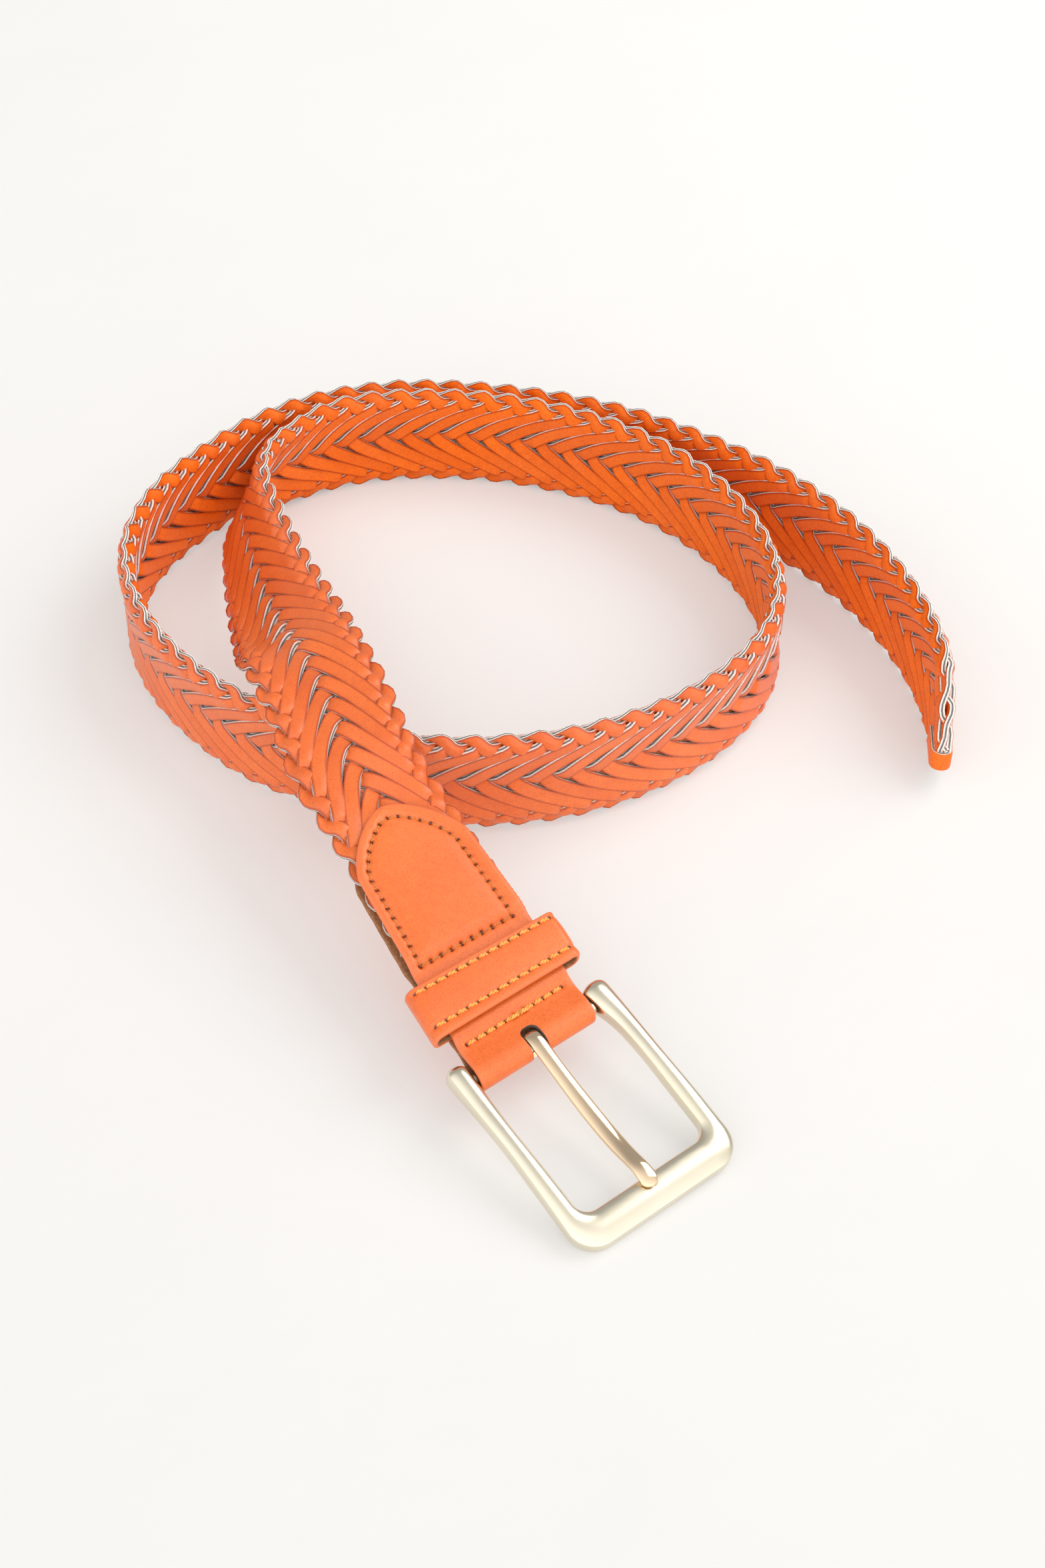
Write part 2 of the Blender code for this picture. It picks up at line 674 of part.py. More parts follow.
def braid(collection, route, leather):
    clear = 0.5 * BRAID_THICK + GAP
    hinges = TAIL_HINGES
    sections = [
        ("braid_tab_end", BRAID_START, LIFT_HINGE - clear, False, False),
        ("braid_twist", LIFT_HINGE, COIL_CUTS[0], True, False),
        ("braid_first_turn", COIL_CUTS[0] + GAP, COIL_CUTS[1], False, False),
        ("braid_right_turn", COIL_CUTS[1] + GAP, COIL_CUTS[2], False, False),
        ("braid_front", COIL_CUTS[2] + GAP, COIL_CUTS[3], False, False),
        ("braid_left_turn", COIL_CUTS[3] + GAP, hinges[0], False, True),
        ("braid_tail_1", hinges[0] + clear, hinges[1], False, True),
        ("braid_tail_2", hinges[1] + clear, hinges[2], False, True),
    ]
    for name, start, end, round_start, round_end in sections:
        rings = braid_section(route, start, end, round_start, round_end)
        add_object(name, loft(rings, name), leather, collection)
    start = hinges[2] + clear
    taper = route.length - TIP_WRAP - TIP_TAPER
    plain = braid_section(route, start, taper)
    rings = plain[:-1]
    for distance in np.linspace(taper, route.length - TIP_WRAP, 6):
        low, high = tip_edges(route, distance)
        rings.append(braid_ring(route, distance, 0.5 * BRAID_THICK, low, high))
    add_object("braid_tail_3", loft(rings, "braid_tail_3"), leather, collection)
    rings = []
    for distance in np.linspace(route.length - TIP_WRAP + GAP, route.length, 4):
        low, high = tip_edges(route, distance)
        rings.append(braid_ring(route, distance, 0.55 * BRAID_THICK, low, high))
    add_object("tail_end_wrap", loft(rings, "tail_end_wrap"), leather, collection)


def placed_empty(name, collection, matrix, parent=None):
    empty = bpy.data.objects.new(name, None)
    collection.objects.link(empty)
    empty.parent = parent
    if parent is None:
        empty.matrix_world = matrix
    else:
        empty.matrix_local = matrix
    return empty


def main():
    clear_scene()
    parts = make_collection("braided_belt")
    cutters = make_collection("cutters")
    leather = make_material("leather", LEATHER, 0.45)
    thread = make_material("thread", THREAD, 0.6)
    nickel = make_material("nickel", NICKEL, 0.3, 1.0)
    prong_metal = make_material("prong_metal", PRONG_METAL, 0.12, 1.0)

    axes = Matrix([list(axis) for axis in tab_axes()]).transposed().to_4x4()
    tab_place = placed_empty("tab_place", parts, Matrix.Translation(bar_centre()) @ axes)
    yaw = Matrix.Rotation(ASKEW, 4, "Z")
    buckle_place = placed_empty("buckle_place", parts, yaw, tab_place)

    buckle_frame(parts, cutters, buckle_place, nickel)
    buckle_bar(parts, buckle_place, nickel)
    prong(parts, cutters, buckle_place, prong_metal)
    tab_leather(parts, cutters, tab_place, leather)
    tab_threads(parts, tab_place, thread)
    keeper(parts, tab_place, leather, thread)
    braid(parts, Route(), leather)


main()
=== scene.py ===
"""Looks of the braided leather belt: thirteen woven strips, stitched tab, keeper, buckle and prong.

Lengths are metres, +Z is up and the floor is z = 0. The strap's route and the tab's axes are the
same as the CAD's; along the strap, distances run from the buckle's bar to the tail tip.
"""

import json
import math

import bmesh
import bpy
import numpy as np
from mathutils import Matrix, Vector

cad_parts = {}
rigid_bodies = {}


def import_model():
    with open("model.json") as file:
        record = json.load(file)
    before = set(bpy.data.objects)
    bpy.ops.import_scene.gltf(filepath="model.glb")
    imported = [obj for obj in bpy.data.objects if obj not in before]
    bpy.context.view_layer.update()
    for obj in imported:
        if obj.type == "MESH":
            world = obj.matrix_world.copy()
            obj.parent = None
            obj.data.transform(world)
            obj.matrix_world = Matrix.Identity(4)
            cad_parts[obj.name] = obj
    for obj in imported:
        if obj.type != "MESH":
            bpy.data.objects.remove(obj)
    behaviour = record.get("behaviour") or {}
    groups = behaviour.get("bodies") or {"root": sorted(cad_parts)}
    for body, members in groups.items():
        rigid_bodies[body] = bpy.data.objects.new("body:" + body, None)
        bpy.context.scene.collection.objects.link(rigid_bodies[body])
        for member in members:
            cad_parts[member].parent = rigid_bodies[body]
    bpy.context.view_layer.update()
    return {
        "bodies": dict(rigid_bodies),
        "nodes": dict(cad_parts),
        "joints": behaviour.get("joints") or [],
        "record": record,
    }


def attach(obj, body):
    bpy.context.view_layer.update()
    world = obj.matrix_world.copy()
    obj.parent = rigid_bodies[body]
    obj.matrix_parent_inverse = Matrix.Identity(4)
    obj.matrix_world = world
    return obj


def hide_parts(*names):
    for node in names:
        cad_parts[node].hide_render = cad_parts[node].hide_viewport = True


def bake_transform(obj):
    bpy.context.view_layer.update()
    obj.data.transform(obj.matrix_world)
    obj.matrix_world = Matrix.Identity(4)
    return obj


MM = 0.001
# Clearance between pieces, and under the far bar's lower corner.
GAP = 0.3 * MM
FLOOR_GAP = 0.05 * MM
# Longer than anything on the belt, for places that a stitch row or the prong's seat is not at.
FAR_AWAY = 1.0

# ---------------------------------------------------------------- driving sizes

# The buckle end: its slope down to the table, its turn in plan and how far its fold is out of
# square, which fades out towards the tab's tip. BAR_PLAN is the bar's place in plan.
SLOPE = math.radians(13.0)
TAB_ANGLE = math.radians(32.2)
ASKEW = math.radians(5.4)
ASKEW_FADE = (-75.0 * MM, -12.0 * MM)
TAB_SHIFT = -0.9 * MM
BAR_PLAN = (3.3 * MM, -102.6 * MM)
CENTRING = (-0.93 * MM, 4.16 * MM)

# The braid. A strip crosses the strap and is back after STRIPS times PITCH along it.
BRAID_WIDTH = 35.0 * MM
BRAID_THICK = 4.0 * MM
STRIPS = 13
PITCH = 8.7 * MM
STRIP_WIDTH = 4.3 * MM
STRIP_THICK = 1.8 * MM
STRIP_TILT = math.radians(12.0)
# Distance between the rings of a strip.
STATION = 1.0 * MM
BRAID_START = 36.0 * MM

# The buckle frame and the prong, measured forwards from the bar. At the bar each arm swells
# into a bulb, by its share of the arm's width and height; further on it narrows to a waist.
FRAME_REAR = -5.5 * MM
FRAME_FRONT = 51.8 * MM
FRAME_HALF_WIDTH = 24.5 * MM
WINDOW_FRONT = 43.1 * MM
WINDOW_HALF_WIDTH = 19.0 * MM
FRAME_THICK = 4.8 * MM
FRAME_EDGE = 1.3 * MM
FRAME_BULB = -2.75 * MM
BULB_SWELL_RIGHT = 0.38
BULB_SWELL_LEFT = 0.05
BULB_LIFT = 0.26
WAIST = 0.10
WAIST_PLACE = 19.0 * MM
BULB_REACH = 8.0 * MM
WAIST_REACH = 11.0 * MM
OUTER_CORNER = 7.5 * MM
INNER_CORNER = 4.0 * MM
ARM_ARCH = 1.2 * MM
UNDERSIDE_LIFT = 0.12 * MM
BAR_RADIUS = 1.6 * MM
PRONG_WIDTH = 4.2 * MM
PRONG_EYE = 3.3 * MM
NOTCH_DEPTH = 0.7 * MM
NOTCH_RADIUS = 2.9 * MM
PRONG_SHIFT = -0.8 * MM
TIP_END = 46.9 * MM

# The tab and the keeper, measured from the bar, so that places behind it are negative.
LEAF = 1.4 * MM
FOLD_CENTRE = 0.3 * MM
FOLD_INNER = 1.9 * MM
TAB_HALF_WIDTH = 17.5 * MM
TAB_TIP = -75.3 * MM
TAB_SHOULDER = -58.5 * MM
TAB_SHOULDER_HALF = 16.4 * MM
SLOT_REAR = -3.95 * MM
SLOT_CORNER = 2.0 * MM
SLOT_HALF_WIDTH = 2.5 * MM
TURNBACK_ROW = -8.3 * MM
CLOSING_ROW = -31.4 * MM
KEEPER_REAR = -26.4 * MM
KEEPER_FRONT = -11.9 * MM
KEEPER_MIDDLE = 0.5 * (KEEPER_FRONT + KEEPER_REAR)
KEEPER_HALF_RUN = 0.5 * (KEEPER_FRONT - KEEPER_REAR)
KEEPER_HALF_WIDTH = 22.8 * MM
KEEPER_INNER_HALF = 20.7 * MM
KEEPER_RUN = 1.4 * MM
KEEPER_CLEARANCE = 0.6 * MM
LINING_THICK = 0.6 * MM
KEEPER_REAR_ROW = -24.8 * MM
KEEPER_FRONT_ROW = -15.0 * MM
STITCH_INSET = 3.6 * MM
STITCH_SHIFT = -0.6 * MM
PADDING = 0.55 * MM
PADDING_EASE = 3.2 * MM
BORDER_RISE = 0.18 * MM
BORDER_EASE = 0.9 * MM
KEEPER_CROWN = 0.20 * MM
KEEPER_LIP = 0.10 * MM

# How far the thread draws the leather in: round the outline and along a straight row.
LOOP_SINK = 0.30 * MM
ROW_SINK = 0.22 * MM

# Needle holes: distance between them along each row, then the radius and depth of one hole.
OUTLINE_SPACING = 2.9 * MM
CLOSING_SPACING = 3.0 * MM
TURNBACK_SPACING = 2.9 * MM
KEEPER_SPACING = 3.1 * MM
OUTLINE_HOLE = 0.60 * MM
CLOSING_HOLE = 0.68 * MM
TURNBACK_HOLE = 0.52 * MM
KEEPER_HOLE = 0.46 * MM
TAB_HOLE_DEPTH = 0.75 * MM
KEEPER_HOLE_DEPTH = 0.55 * MM

# Stitches: radius of the thread and how far it stands up between its holes.
OUTLINE_THREAD = (0.38 * MM, 0.46 * MM)
CLOSING_THREAD = (0.40 * MM, 0.46 * MM)
TURNBACK_THREAD = (0.56 * MM, 0.60 * MM)
DOUBLED_THREAD = (0.54 * MM, 0.90 * MM)
KEEPER_THREAD = (0.50 * MM, 0.42 * MM)
THREAD_LIFT = 0.45 * MM
STITCH_STEPS = 13
PLY_TURNS = 1.25

# Where the strap bends, how far on both sides of a bend its frames are taken, and where its pieces part.
LIFT_HINGE = 128.0 * MM
HALF_BEND = 14.0 * MM
COIL_CUTS = (168.0 * MM, 385.0 * MM, 600.0 * MM, 800.0 * MM)
TAIL_HINGES = (845.0 * MM, 905.0 * MM, 962.0 * MM)
TIP_TAPER = 15.0 * MM
TIP_WRAP = 6.0 * MM

# Centre line of the braid in plan and its roll, from the tab to the tail tip, in millimetres
# and degrees: roll 0 lies flat, face up, and roll 90 stands on edge, face outwards.
FLAT_PATH = [
    (-43.9, -27.6, 35.4, 7.5), (-49.4, -13.1, 37.9, 5.0),
    (-55.0, 1.4, 38.7, 3.0), (-60.2, 14.0, 37.4, 5.0),
]
TWIST_PATH = [
    (-66.0, 31.2, 24.0), (-71.4, 47.9, 39.0), (-76.5, 64.8, 49.0),
    (-80.5, 79.5, 56.5), (-83.5, 95.1, 64.0), (-82.9, 106.7, 70.0),
    (-78.8, 116.9, 76.0), (-71.7, 123.9, 82.0), (-62.3, 130.9, 87.5),
]
COIL_PATH = [
    (-50.8, 135.7), (-28.8, 138.1), (-6.8, 136.0), (15.2, 129.2), (37.2, 116.9),
    (55.8, 98.4), (68.8, 74.4), (72.9, 51.4), (67.9, 29.4), (52.6, 9.2),
    (32.6, -4.8), (13.2, -12.6), (-7.8, -16.0), (-29.8, -15.2), (-51.8, -9.6),
    (-73.3, -0.2), (-90.3, 13.8), (-104.0, 31.1), (-112.5, 50.4), (-114.8, 71.4),
    (-109.4, 91.6), (-97.2, 110.0), (-81.2, 126.4), (-61.4, 137.7), (-36.8, 143.0),
    (-12.8, 141.9), (9.4, 137.6), (31.8, 130.0), (53.2, 118.0), (74.6, 102.2),
    (92.7, 82.4), (106.6, 58.5), (114.7, 33.6), (116.7, 9.4), (116.0, -0.6),
]
FLAT_HEIGHT = 38.4 * MM
# From this roll on, the braid's lower edge rests on the floor.
STANDING_ROLL = math.radians(60.0)


# ---------------------------------------------------------------- small maths


def unit(rows):
    return rows / np.linalg.norm(rows, axis=-1)[..., None]


def smooth_step(value):
    value = np.clip(value, 0.0, 1.0)
    return value * value * (3.0 - 2.0 * value)


def hump(offset, reach):
    """A smooth rise to 1 in its middle that has all but ended at twice its reach."""
    return np.exp(-((offset / reach) ** 2))


def running_length(points):
    """Distance of each point along the line from its first point."""
    chords = np.linalg.norm(np.diff(points, axis=0), axis=1)
    return np.concatenate([[0.0], np.cumsum(chords)])


def interpolated(places, knots, rows):
    """Rows at the given places between the knots."""
    return np.column_stack([np.interp(places, knots, column) for column in rows.T])


# ---------------------------------------------------------------- the strap's route


def tab_axes():
    """Unit vectors of the tab: along towards the buckle, across to the right edge, out of the face."""
    across = Vector((math.cos(TAB_ANGLE), math.sin(TAB_ANGLE), 0.0))
    level = Vector((math.sin(TAB_ANGLE), -math.cos(TAB_ANGLE), 0.0))
    along = level * math.cos(SLOPE) - Vector((0.0, 0.0, math.sin(SLOPE)))
    return along, across, along.cross(across)


def bar_centre():
    """The far bar's lower corner all but touches the floor, which sets the bar's height."""
    corner_x = (FRAME_FRONT - OUTER_CORNER) * math.cos(ASKEW)
    corner_y = (FRAME_HALF_WIDTH - OUTER_CORNER) * math.sin(ASKEW)
    reach = corner_x + corner_y + OUTER_CORNER - FRAME_EDGE
    height = reach * math.sin(SLOPE) + 0.5 * FRAME_THICK * math.cos(SLOPE) + FLOOR_GAP
    return Vector((BAR_PLAN[0] + CENTRING[0], BAR_PLAN[1] + CENTRING[1], height))


def route_stations():
    """Rows of x, y, z and roll in radians, from the bar to the tail tip."""
    along, _, _ = tab_axes()
    rows = []
    for distance in (0.0, 25.0 * MM, 50.0 * MM, 66.0 * MM, 76.0 * MM):
        rows.append((*(bar_centre() - along * distance), 0.0))
    shift_x, shift_y = CENTRING
    for x, y, z, roll in FLAT_PATH:
        rows.append((x * MM + shift_x, y * MM + shift_y, z * MM, math.radians(roll)))
    standing = 0.5 * BRAID_WIDTH
    for x, y, roll in TWIST_PATH:
        turn = math.radians(roll)
        height = FLAT_HEIGHT - (FLAT_HEIGHT - standing) * math.sin(turn)
        rows.append((x * MM + shift_x, y * MM + shift_y, height, turn))
    for x, y in COIL_PATH:
        rows.append((x * MM + shift_x, y * MM + shift_y, standing, 0.5 * math.pi))
    return np.array(rows)


def spline_through(knots, values, at):
    """Natural cubic spline through values at the knots, evaluated at the given places."""
    count = len(knots)
    step = np.diff(knots)
    system = np.eye(count)
    right = np.zeros((count, values.shape[1]))
    slope = np.diff(values, axis=0) / step[:, None]
    for i in range(1, count - 1):
        system[i, i - 1] = step[i - 1]
        system[i, i] = 2.0 * (step[i - 1] + step[i])
        system[i, i + 1] = step[i]
        right[i] = 6.0 * (slope[i] - slope[i - 1])
    second = np.linalg.solve(system, right)
    i = np.clip(np.searchsorted(knots, at) - 1, 0, count - 2)
    h = step[i][:, None]
    a = (knots[i + 1] - at)[:, None] / h
    b = 1.0 - a
    bend = ((a**3 - a) * second[i] + (b**3 - b) * second[i + 1]) * h**2 / 6.0
    return a * values[i] + b * values[i + 1] + bend


class Route:
    """The braid's centre line, asked by distance along it from the bar."""

    def __init__(self):
        stations = route_stations()
        knots = running_length(stations[:, :3])
        self.rows = spline_through(knots, stations, np.linspace(0.0, knots[-1], 4001))
        self.rows[:, 3] = np.minimum(self.rows[:, 3], 0.5 * math.pi)
        roll = self.rows[:, 3]
        above_floor = 0.5 * (BRAID_WIDTH * np.sin(roll) + BRAID_THICK * np.cos(roll))
        raised = np.maximum(self.rows[:, 2], above_floor)
        self.rows[:, 2] = np.where(roll > STANDING_ROLL, raised, self.rows[:, 2])
        self.distance = running_length(self.rows[:, :3])
        self.tangent = np.gradient(self.rows[:, :3], self.distance, axis=0)
        self.length = float(self.distance[-1])

    def frames(self, distances):
        """Rows of centre, tangent, across and outer normal at many distances."""
        rows = interpolated(distances, self.distance, self.rows)
        tangent = unit(interpolated(distances, self.distance, self.tangent))
        level = unit(np.column_stack([tangent[:, 1], -tangent[:, 0], np.zeros(len(rows))]))
        upward = np.cross(level, tangent)
        cosine = np.cos(rows[:, 3:])
        sine = np.sin(rows[:, 3:])
        return rows[:, :3], tangent, level * cosine + upward * sine, upward * cosine - level * sine


# ---------------------------------------------------------------- mesh helpers


class Shell:
    """Collects tubes of rings into one mesh, with a value at each point for named attributes."""

    def __init__(self, *attributes):
        self.points = []
        self.faces = []
        self.slots = []
        self.values = {name: [] for name in attributes}
        self.count = 0

    def tube(self, rings, slots=0, wrap=False, cap_slot=0, **values):
        """Adds a tube; slots is one material or one for each side of a ring."""
        rows, size = rings.shape[:2]
        spans = rows if wrap else rows - 1
        ring = np.arange(spans)[:, None] * size
        next_ring = (np.arange(1, spans + 1)[:, None] % rows) * size
        corner = np.arange(size)[None, :]
        next_corner = (corner + 1) % size
        sides = [ring + corner, ring + next_corner, next_ring + next_corner, next_ring + corner]
        quads = np.stack(sides, -1).reshape(-1, 4) + self.count
        self.faces += quads.tolist()
        self.slots += np.tile(np.broadcast_to(slots, size), spans).tolist()
        if not wrap:
            last = self.count + (rows - 1) * size
            self.faces.append([self.count + k for k in reversed(range(size))])
            self.faces.append([last + k for k in range(size)])
            self.slots += [cap_slot, cap_slot]
        for name, rows_of_values in self.values.items():
            value = np.broadcast_to(values.get(name, 0.0), (rows, size))
            rows_of_values.append(value.reshape(-1))
        self.points.append(rings.reshape(-1, 3))
        self.count += rows * size

    def build(self, name, materials, sharp=None):
        """The collected mesh as an object; edges sharper than the angle, in degrees, stay crisp."""
        mesh = bpy.data.meshes.new(name)
        mesh.from_pydata(np.concatenate(self.points).tolist(), [], self.faces)
        for material in materials:
            mesh.materials.append(material)
        mesh.polygons.foreach_set("material_index", np.array(self.slots, dtype=np.int32))
        bm = bmesh.new()
        bm.from_mesh(mesh)
        bmesh.ops.recalc_face_normals(bm, faces=bm.faces)
        bm.to_mesh(mesh)
        bm.free()
        for attribute_name, values in self.values.items():
            attribute = mesh.attributes.new(attribute_name, "FLOAT", "POINT")
            attribute.data.foreach_set("value", np.concatenate(values).astype(np.float32))
        mesh.shade_smooth()
        if sharp is not None:
            mesh.set_sharp_from_angle(angle=math.radians(sharp))
        obj = bpy.data.objects.new(name, mesh)
        bpy.context.scene.collection.objects.link(obj)
        return obj


def askew(points):
    """Moves points with the skewed leather: fully at the fold, not at all at the tab's tip."""
    share = (points[..., 0] - ASKEW_FADE[0]) / (ASKEW_FADE[1] - ASKEW_FADE[0])
    moved = np.array(points)
    moved[..., 0] -= points[..., 1] * math.tan(ASKEW) * np.clip(share, 0.0, 1.0)
    moved[..., 1] += TAB_SHIFT
    return moved


def on_tab(points):
    """World place of points given along, across and out of the tab's face from the bar."""
    return askew(points) @ np.array(tab_axes()) + np.array(bar_centre())


def on_buckle(points):
    """World place of points in the buckle's own axes, turned with the skewed fold."""
    turned = np.array(points)
    turned[..., 0] = points[..., 0] * math.cos(ASKEW) - points[..., 1] * math.sin(ASKEW)
    turned[..., 1] = points[..., 0] * math.sin(ASKEW) + points[..., 1] * math.cos(ASKEW)
    return turned @ np.array(tab_axes()) + np.array(bar_centre())


def nearest(x, y, spots):
    """Distance from each place to the nearest of the spots in plan."""
    offset_x = x[..., None] - spots[:, 0]
    offset_y = y[..., None] - spots[:, 1]
    return np.sqrt(np.min(offset_x**2 + offset_y**2, axis=-1))


def rounded_edge(distance, thickness):
    """Half thickness of a leather sheet near its rounded edge."""
    radius = 0.5 * thickness
    inward = np.clip(distance / radius, 0.0, 1.0)
    return radius * np.sqrt(np.maximum(0.0, 1.0 - (1.0 - inward) ** 2))


def leather_sheet(outer, inner, smooth_sides, wrap=False, **values):
    """Tube of a leather sheet in the tab's axes: a smooth outer face and a rough inner one."""
    rings = np.concatenate([outer, inner[:, -2:0:-1]], axis=1)
    blank = np.zeros((len(rings), rings.shape[1] - outer.shape[1]))
    for name, value in values.items():
        values[name] = np.concatenate([value, blank], axis=1)
    slots = np.repeat([0, 1], [smooth_sides, rings.shape[1] - smooth_sides])
    shell = Shell("pit", "rim")
    shell.tube(on_tab(rings), slots=slots, wrap=wrap, **values)
    return shell


def swept(path, wide, thick, across, through):
    """Rings of a section carried along a path, by its places across and through it."""
    return path[:, None, :] + wide[:, None, :] * across + thick[:, None, :] * through


def closer_to_edges(count):
    """Places from -1 to 1 that lie closer together towards both ends."""
    share = np.linspace(-1.0, 1.0, count)
    return share * (1.0 + 0.25 * (1.0 - share**2))


def spaced_along(points, spacing):
    """Points at equal distances along an open line, close to the wanted spacing."""
    distance = running_length(points)
    count = max(1, int(round(distance[-1] / spacing)))
    places = np.linspace(0.0, distance[-1], count + 1)
    return interpolated(places, distance, points)


def add_stitch(shell, start, end, outward, radius, rise):
    """One two-ply stitch that dips into its holes at both ends."""
    share = np.linspace(0.0, 1.0, STITCH_STEPS)[:, None]
    along = end - start
    side = np.cross(along, outward)
    side /= np.linalg.norm(side)
    height = rise * np.sin(math.pi * share) ** 0.5 - 0.6 * radius
    middle = start + along * share + outward * height
    ply = 0.62 * radius
    for phase in (0.0, math.pi):
        angle = 2.0 * math.pi * PLY_TURNS * share + phase
        path = middle + ply * 0.8 * (side * np.cos(angle) + outward * np.sin(angle))
        forward = unit(np.gradient(path, axis=0))
        across = unit(np.cross(forward, outward))
        upward = np.cross(across, forward)
        turn = np.linspace(0.0, 2.0 * math.pi, 7)[None, :-1, None]
        size = ply * (0.55 + 0.45 * np.sin(math.pi * share[:, None, :]) ** 0.4)
        rings = path[:, None, :] + size * (
            across[:, None, :] * np.cos(turn) + upward[:, None, :] * np.sin(turn)
        )
        shell.tube(rings)


# ---------------------------------------------------------------- leather tab


def half_gap(x):
    """Half the space between the leaves, with eased bends.

    From the tip on they part round the braid's end, then round the keeper's hidden run, are
    closed under the straight row of stitches and part again round the bar.
    """
    places = np.array([-80.0, -33.8, -29.6, -11.2, -9.4, -6.6, -1.0, 2.0]) * MM
    keeper = 0.5 * KEEPER_RUN + GAP
    braid = 0.5 * BRAID_THICK + GAP
    closed = 0.2 * MM
    gaps = [braid, braid, keeper, keeper, closed, closed, FOLD_INNER, FOLD_INNER]
    nearby = np.linspace(-0.8, 0.8, 7) * MM
    return np.mean([np.interp(x + shift, places, gaps) for shift in nearby], axis=0)


def tab_half_width(x):
    """Half width of the tab: near straight sides that close in a blunt, rounded point."""
    side = np.interp(x, [TAB_SHOULDER, CLOSING_ROW], [TAB_SHOULDER_HALF, TAB_HALF_WIDTH])
    share = np.clip((TAB_SHOULDER - x) / (TAB_SHOULDER - TAB_TIP), 0.0, 1.0)
    return side * (1.0 - share**1.35) ** 0.62


def tip_places(count):
    """Places from the tab's shoulder to its tip, closer together towards the tip."""
    share = np.linspace(0.0, 0.995, count)
    return TAB_SHOULDER + (TAB_TIP - TAB_SHOULDER) * (1.0 - (1.0 - share) ** 2)


def tab_edge_line():
    """The tab's right edge in plan, from the closing row to the tip."""
    x = np.concatenate([np.linspace(CLOSING_ROW, TAB_SHOULDER, 40)[:-1], tip_places(60)])
    return np.column_stack([x, tab_half_width(x)])


def outline_row():
    """Line of the outline stitches, from the right end of the closing row round to the left."""
    edge = tab_edge_line()
    direction = unit(np.gradient(edge, axis=0))
    inner = edge + np.column_stack([-direction[:, 1], direction[:, 0]]) * STITCH_INSET
    inner = inner[inner[:, 1] > 1.0 * MM]
    left = inner[::-1] * np.array([1.0, -1.0])
    return np.concatenate([inner, left]) + np.array([0.0, STITCH_SHIFT])


def tab_holes():
    """Needle holes of the outline row, the closing row and the row behind the fold."""
    outline = spaced_along(outline_row(), OUTLINE_SPACING)
    closing = spaced_along(np.array([outline[-1], outline[0]]), CLOSING_SPACING)
    reach = TAB_HALF_WIDTH - 2.6 * MM
    ends = np.array([[TURNBACK_ROW, -reach], [TURNBACK_ROW, reach - 0.8 * MM]])
    return outline, closing, spaced_along(ends, TURNBACK_SPACING)


def tab_relief(x, y):
    """Height added to the front leaf: padding inside the outline, drawn-in rows and holes.

    Also gives how deep each place lies in a needle hole, from 0 to 1.
    """
    outline, closing, turnback = tab_holes()
    line = outline_row()
    loop = np.concatenate([line, spaced_along(np.array([line[-1], line[0]]), 0.5 * MM)])
    to_loop = nearest(x, y, spaced_along(loop, 0.4 * MM))
    middle = y - STITCH_SHIFT
    inside = (x < line[0, 0]) & (np.abs(middle) < tab_half_width(x) - STITCH_INSET)
    padding = np.where(inside, PADDING * (1.0 - np.exp(-to_loop / PADDING_EASE)), 0.0)
    rim = np.where(inside, 0.0, BORDER_RISE * (1.0 - np.exp(-to_loop / BORDER_EASE)))
    relief = padding + rim - LOOP_SINK * hump(to_loop, 0.75 * MM)
    relief = np.where(x < CLOSING_ROW + 3.0 * MM, relief, 0.0)
    row = np.where(np.abs(y) < TAB_HALF_WIDTH - 2.0 * MM, np.abs(x - TURNBACK_ROW), FAR_AWAY)
    relief -= ROW_SINK * hump(row, 0.9 * MM)
    pits = np.zeros_like(x)
    rows = ((outline, OUTLINE_HOLE), (closing, CLOSING_HOLE), (turnback, TURNBACK_HOLE))
    for holes, radius in rows:
        pits = np.maximum(pits, hump(nearest(x, y, holes), radius))
    return relief - TAB_HOLE_DEPTH * pits, pits


def front_height(x, y):
    """Height of the front leaf's outer face above the tab's middle plane."""
    relief, _ = tab_relief(x, y)
    return half_gap(x) + LEAF + relief


def tab_slot_cutter(materials):
    """Upright solid of the slot in line with the prong, from behind the bar to beyond the fold."""
    angles = np.linspace(0.5 * math.pi, 1.5 * math.pi, 18)
    flat = SLOT_HALF_WIDTH - SLOT_CORNER
    corner_y = np.where(angles < math.pi, flat, -flat)
    corner_x = SLOT_REAR + SLOT_CORNER
    beyond = 12.0 * MM
    x = np.concatenate([corner_x + SLOT_CORNER * np.cos(angles), [beyond, beyond]])
    y = corner_y + SLOT_CORNER * np.sin(angles)
    y = np.concatenate([y, [-SLOT_HALF_WIDTH, SLOT_HALF_WIDTH]]) + PRONG_SHIFT
    rings = [np.column_stack([x, y, np.full(len(x), z)]) for z in (-beyond, beyond)]
    shell = Shell("pit", "rim")
    shell.tube(on_buckle(np.array(rings)), slots=2, cap_slot=2)
    return shell.build("prong_slot_cutter", materials)


def tab_middle_line():
    """The leather's middle line from the front leaf's tip round the fold to the back leaf's tip.

    Gives places x and z, the outward normals and how many places lie on the front leaf.
    """
    tip = tip_places(70)[::-1]
    straight = np.arange(TAB_SHOULDER + 0.3 * MM, -0.9 * MM, 0.3 * MM)
    front = np.concatenate([tip, straight])
    back = np.concatenate([straight[::-4], tip[::-3]])
    angles = np.linspace(math.radians(88.0), math.radians(-88.0), 29)
    radius = FOLD_INNER + 0.5 * LEAF
    x = np.concatenate([front, FOLD_CENTRE + radius * np.cos(angles), back])
    raised = half_gap(front) + 0.5 * LEAF
    lowered = -half_gap(back) - 0.5 * LEAF
    z = np.concatenate([raised, radius * np.sin(angles), lowered])
    normal_x = np.concatenate([np.zeros(len(front)), np.cos(angles), np.zeros(len(back))])
    normal_z = np.concatenate([np.ones(len(front)), np.sin(angles), -np.ones(len(back))])
    return x, z, normal_x, normal_z, len(front)


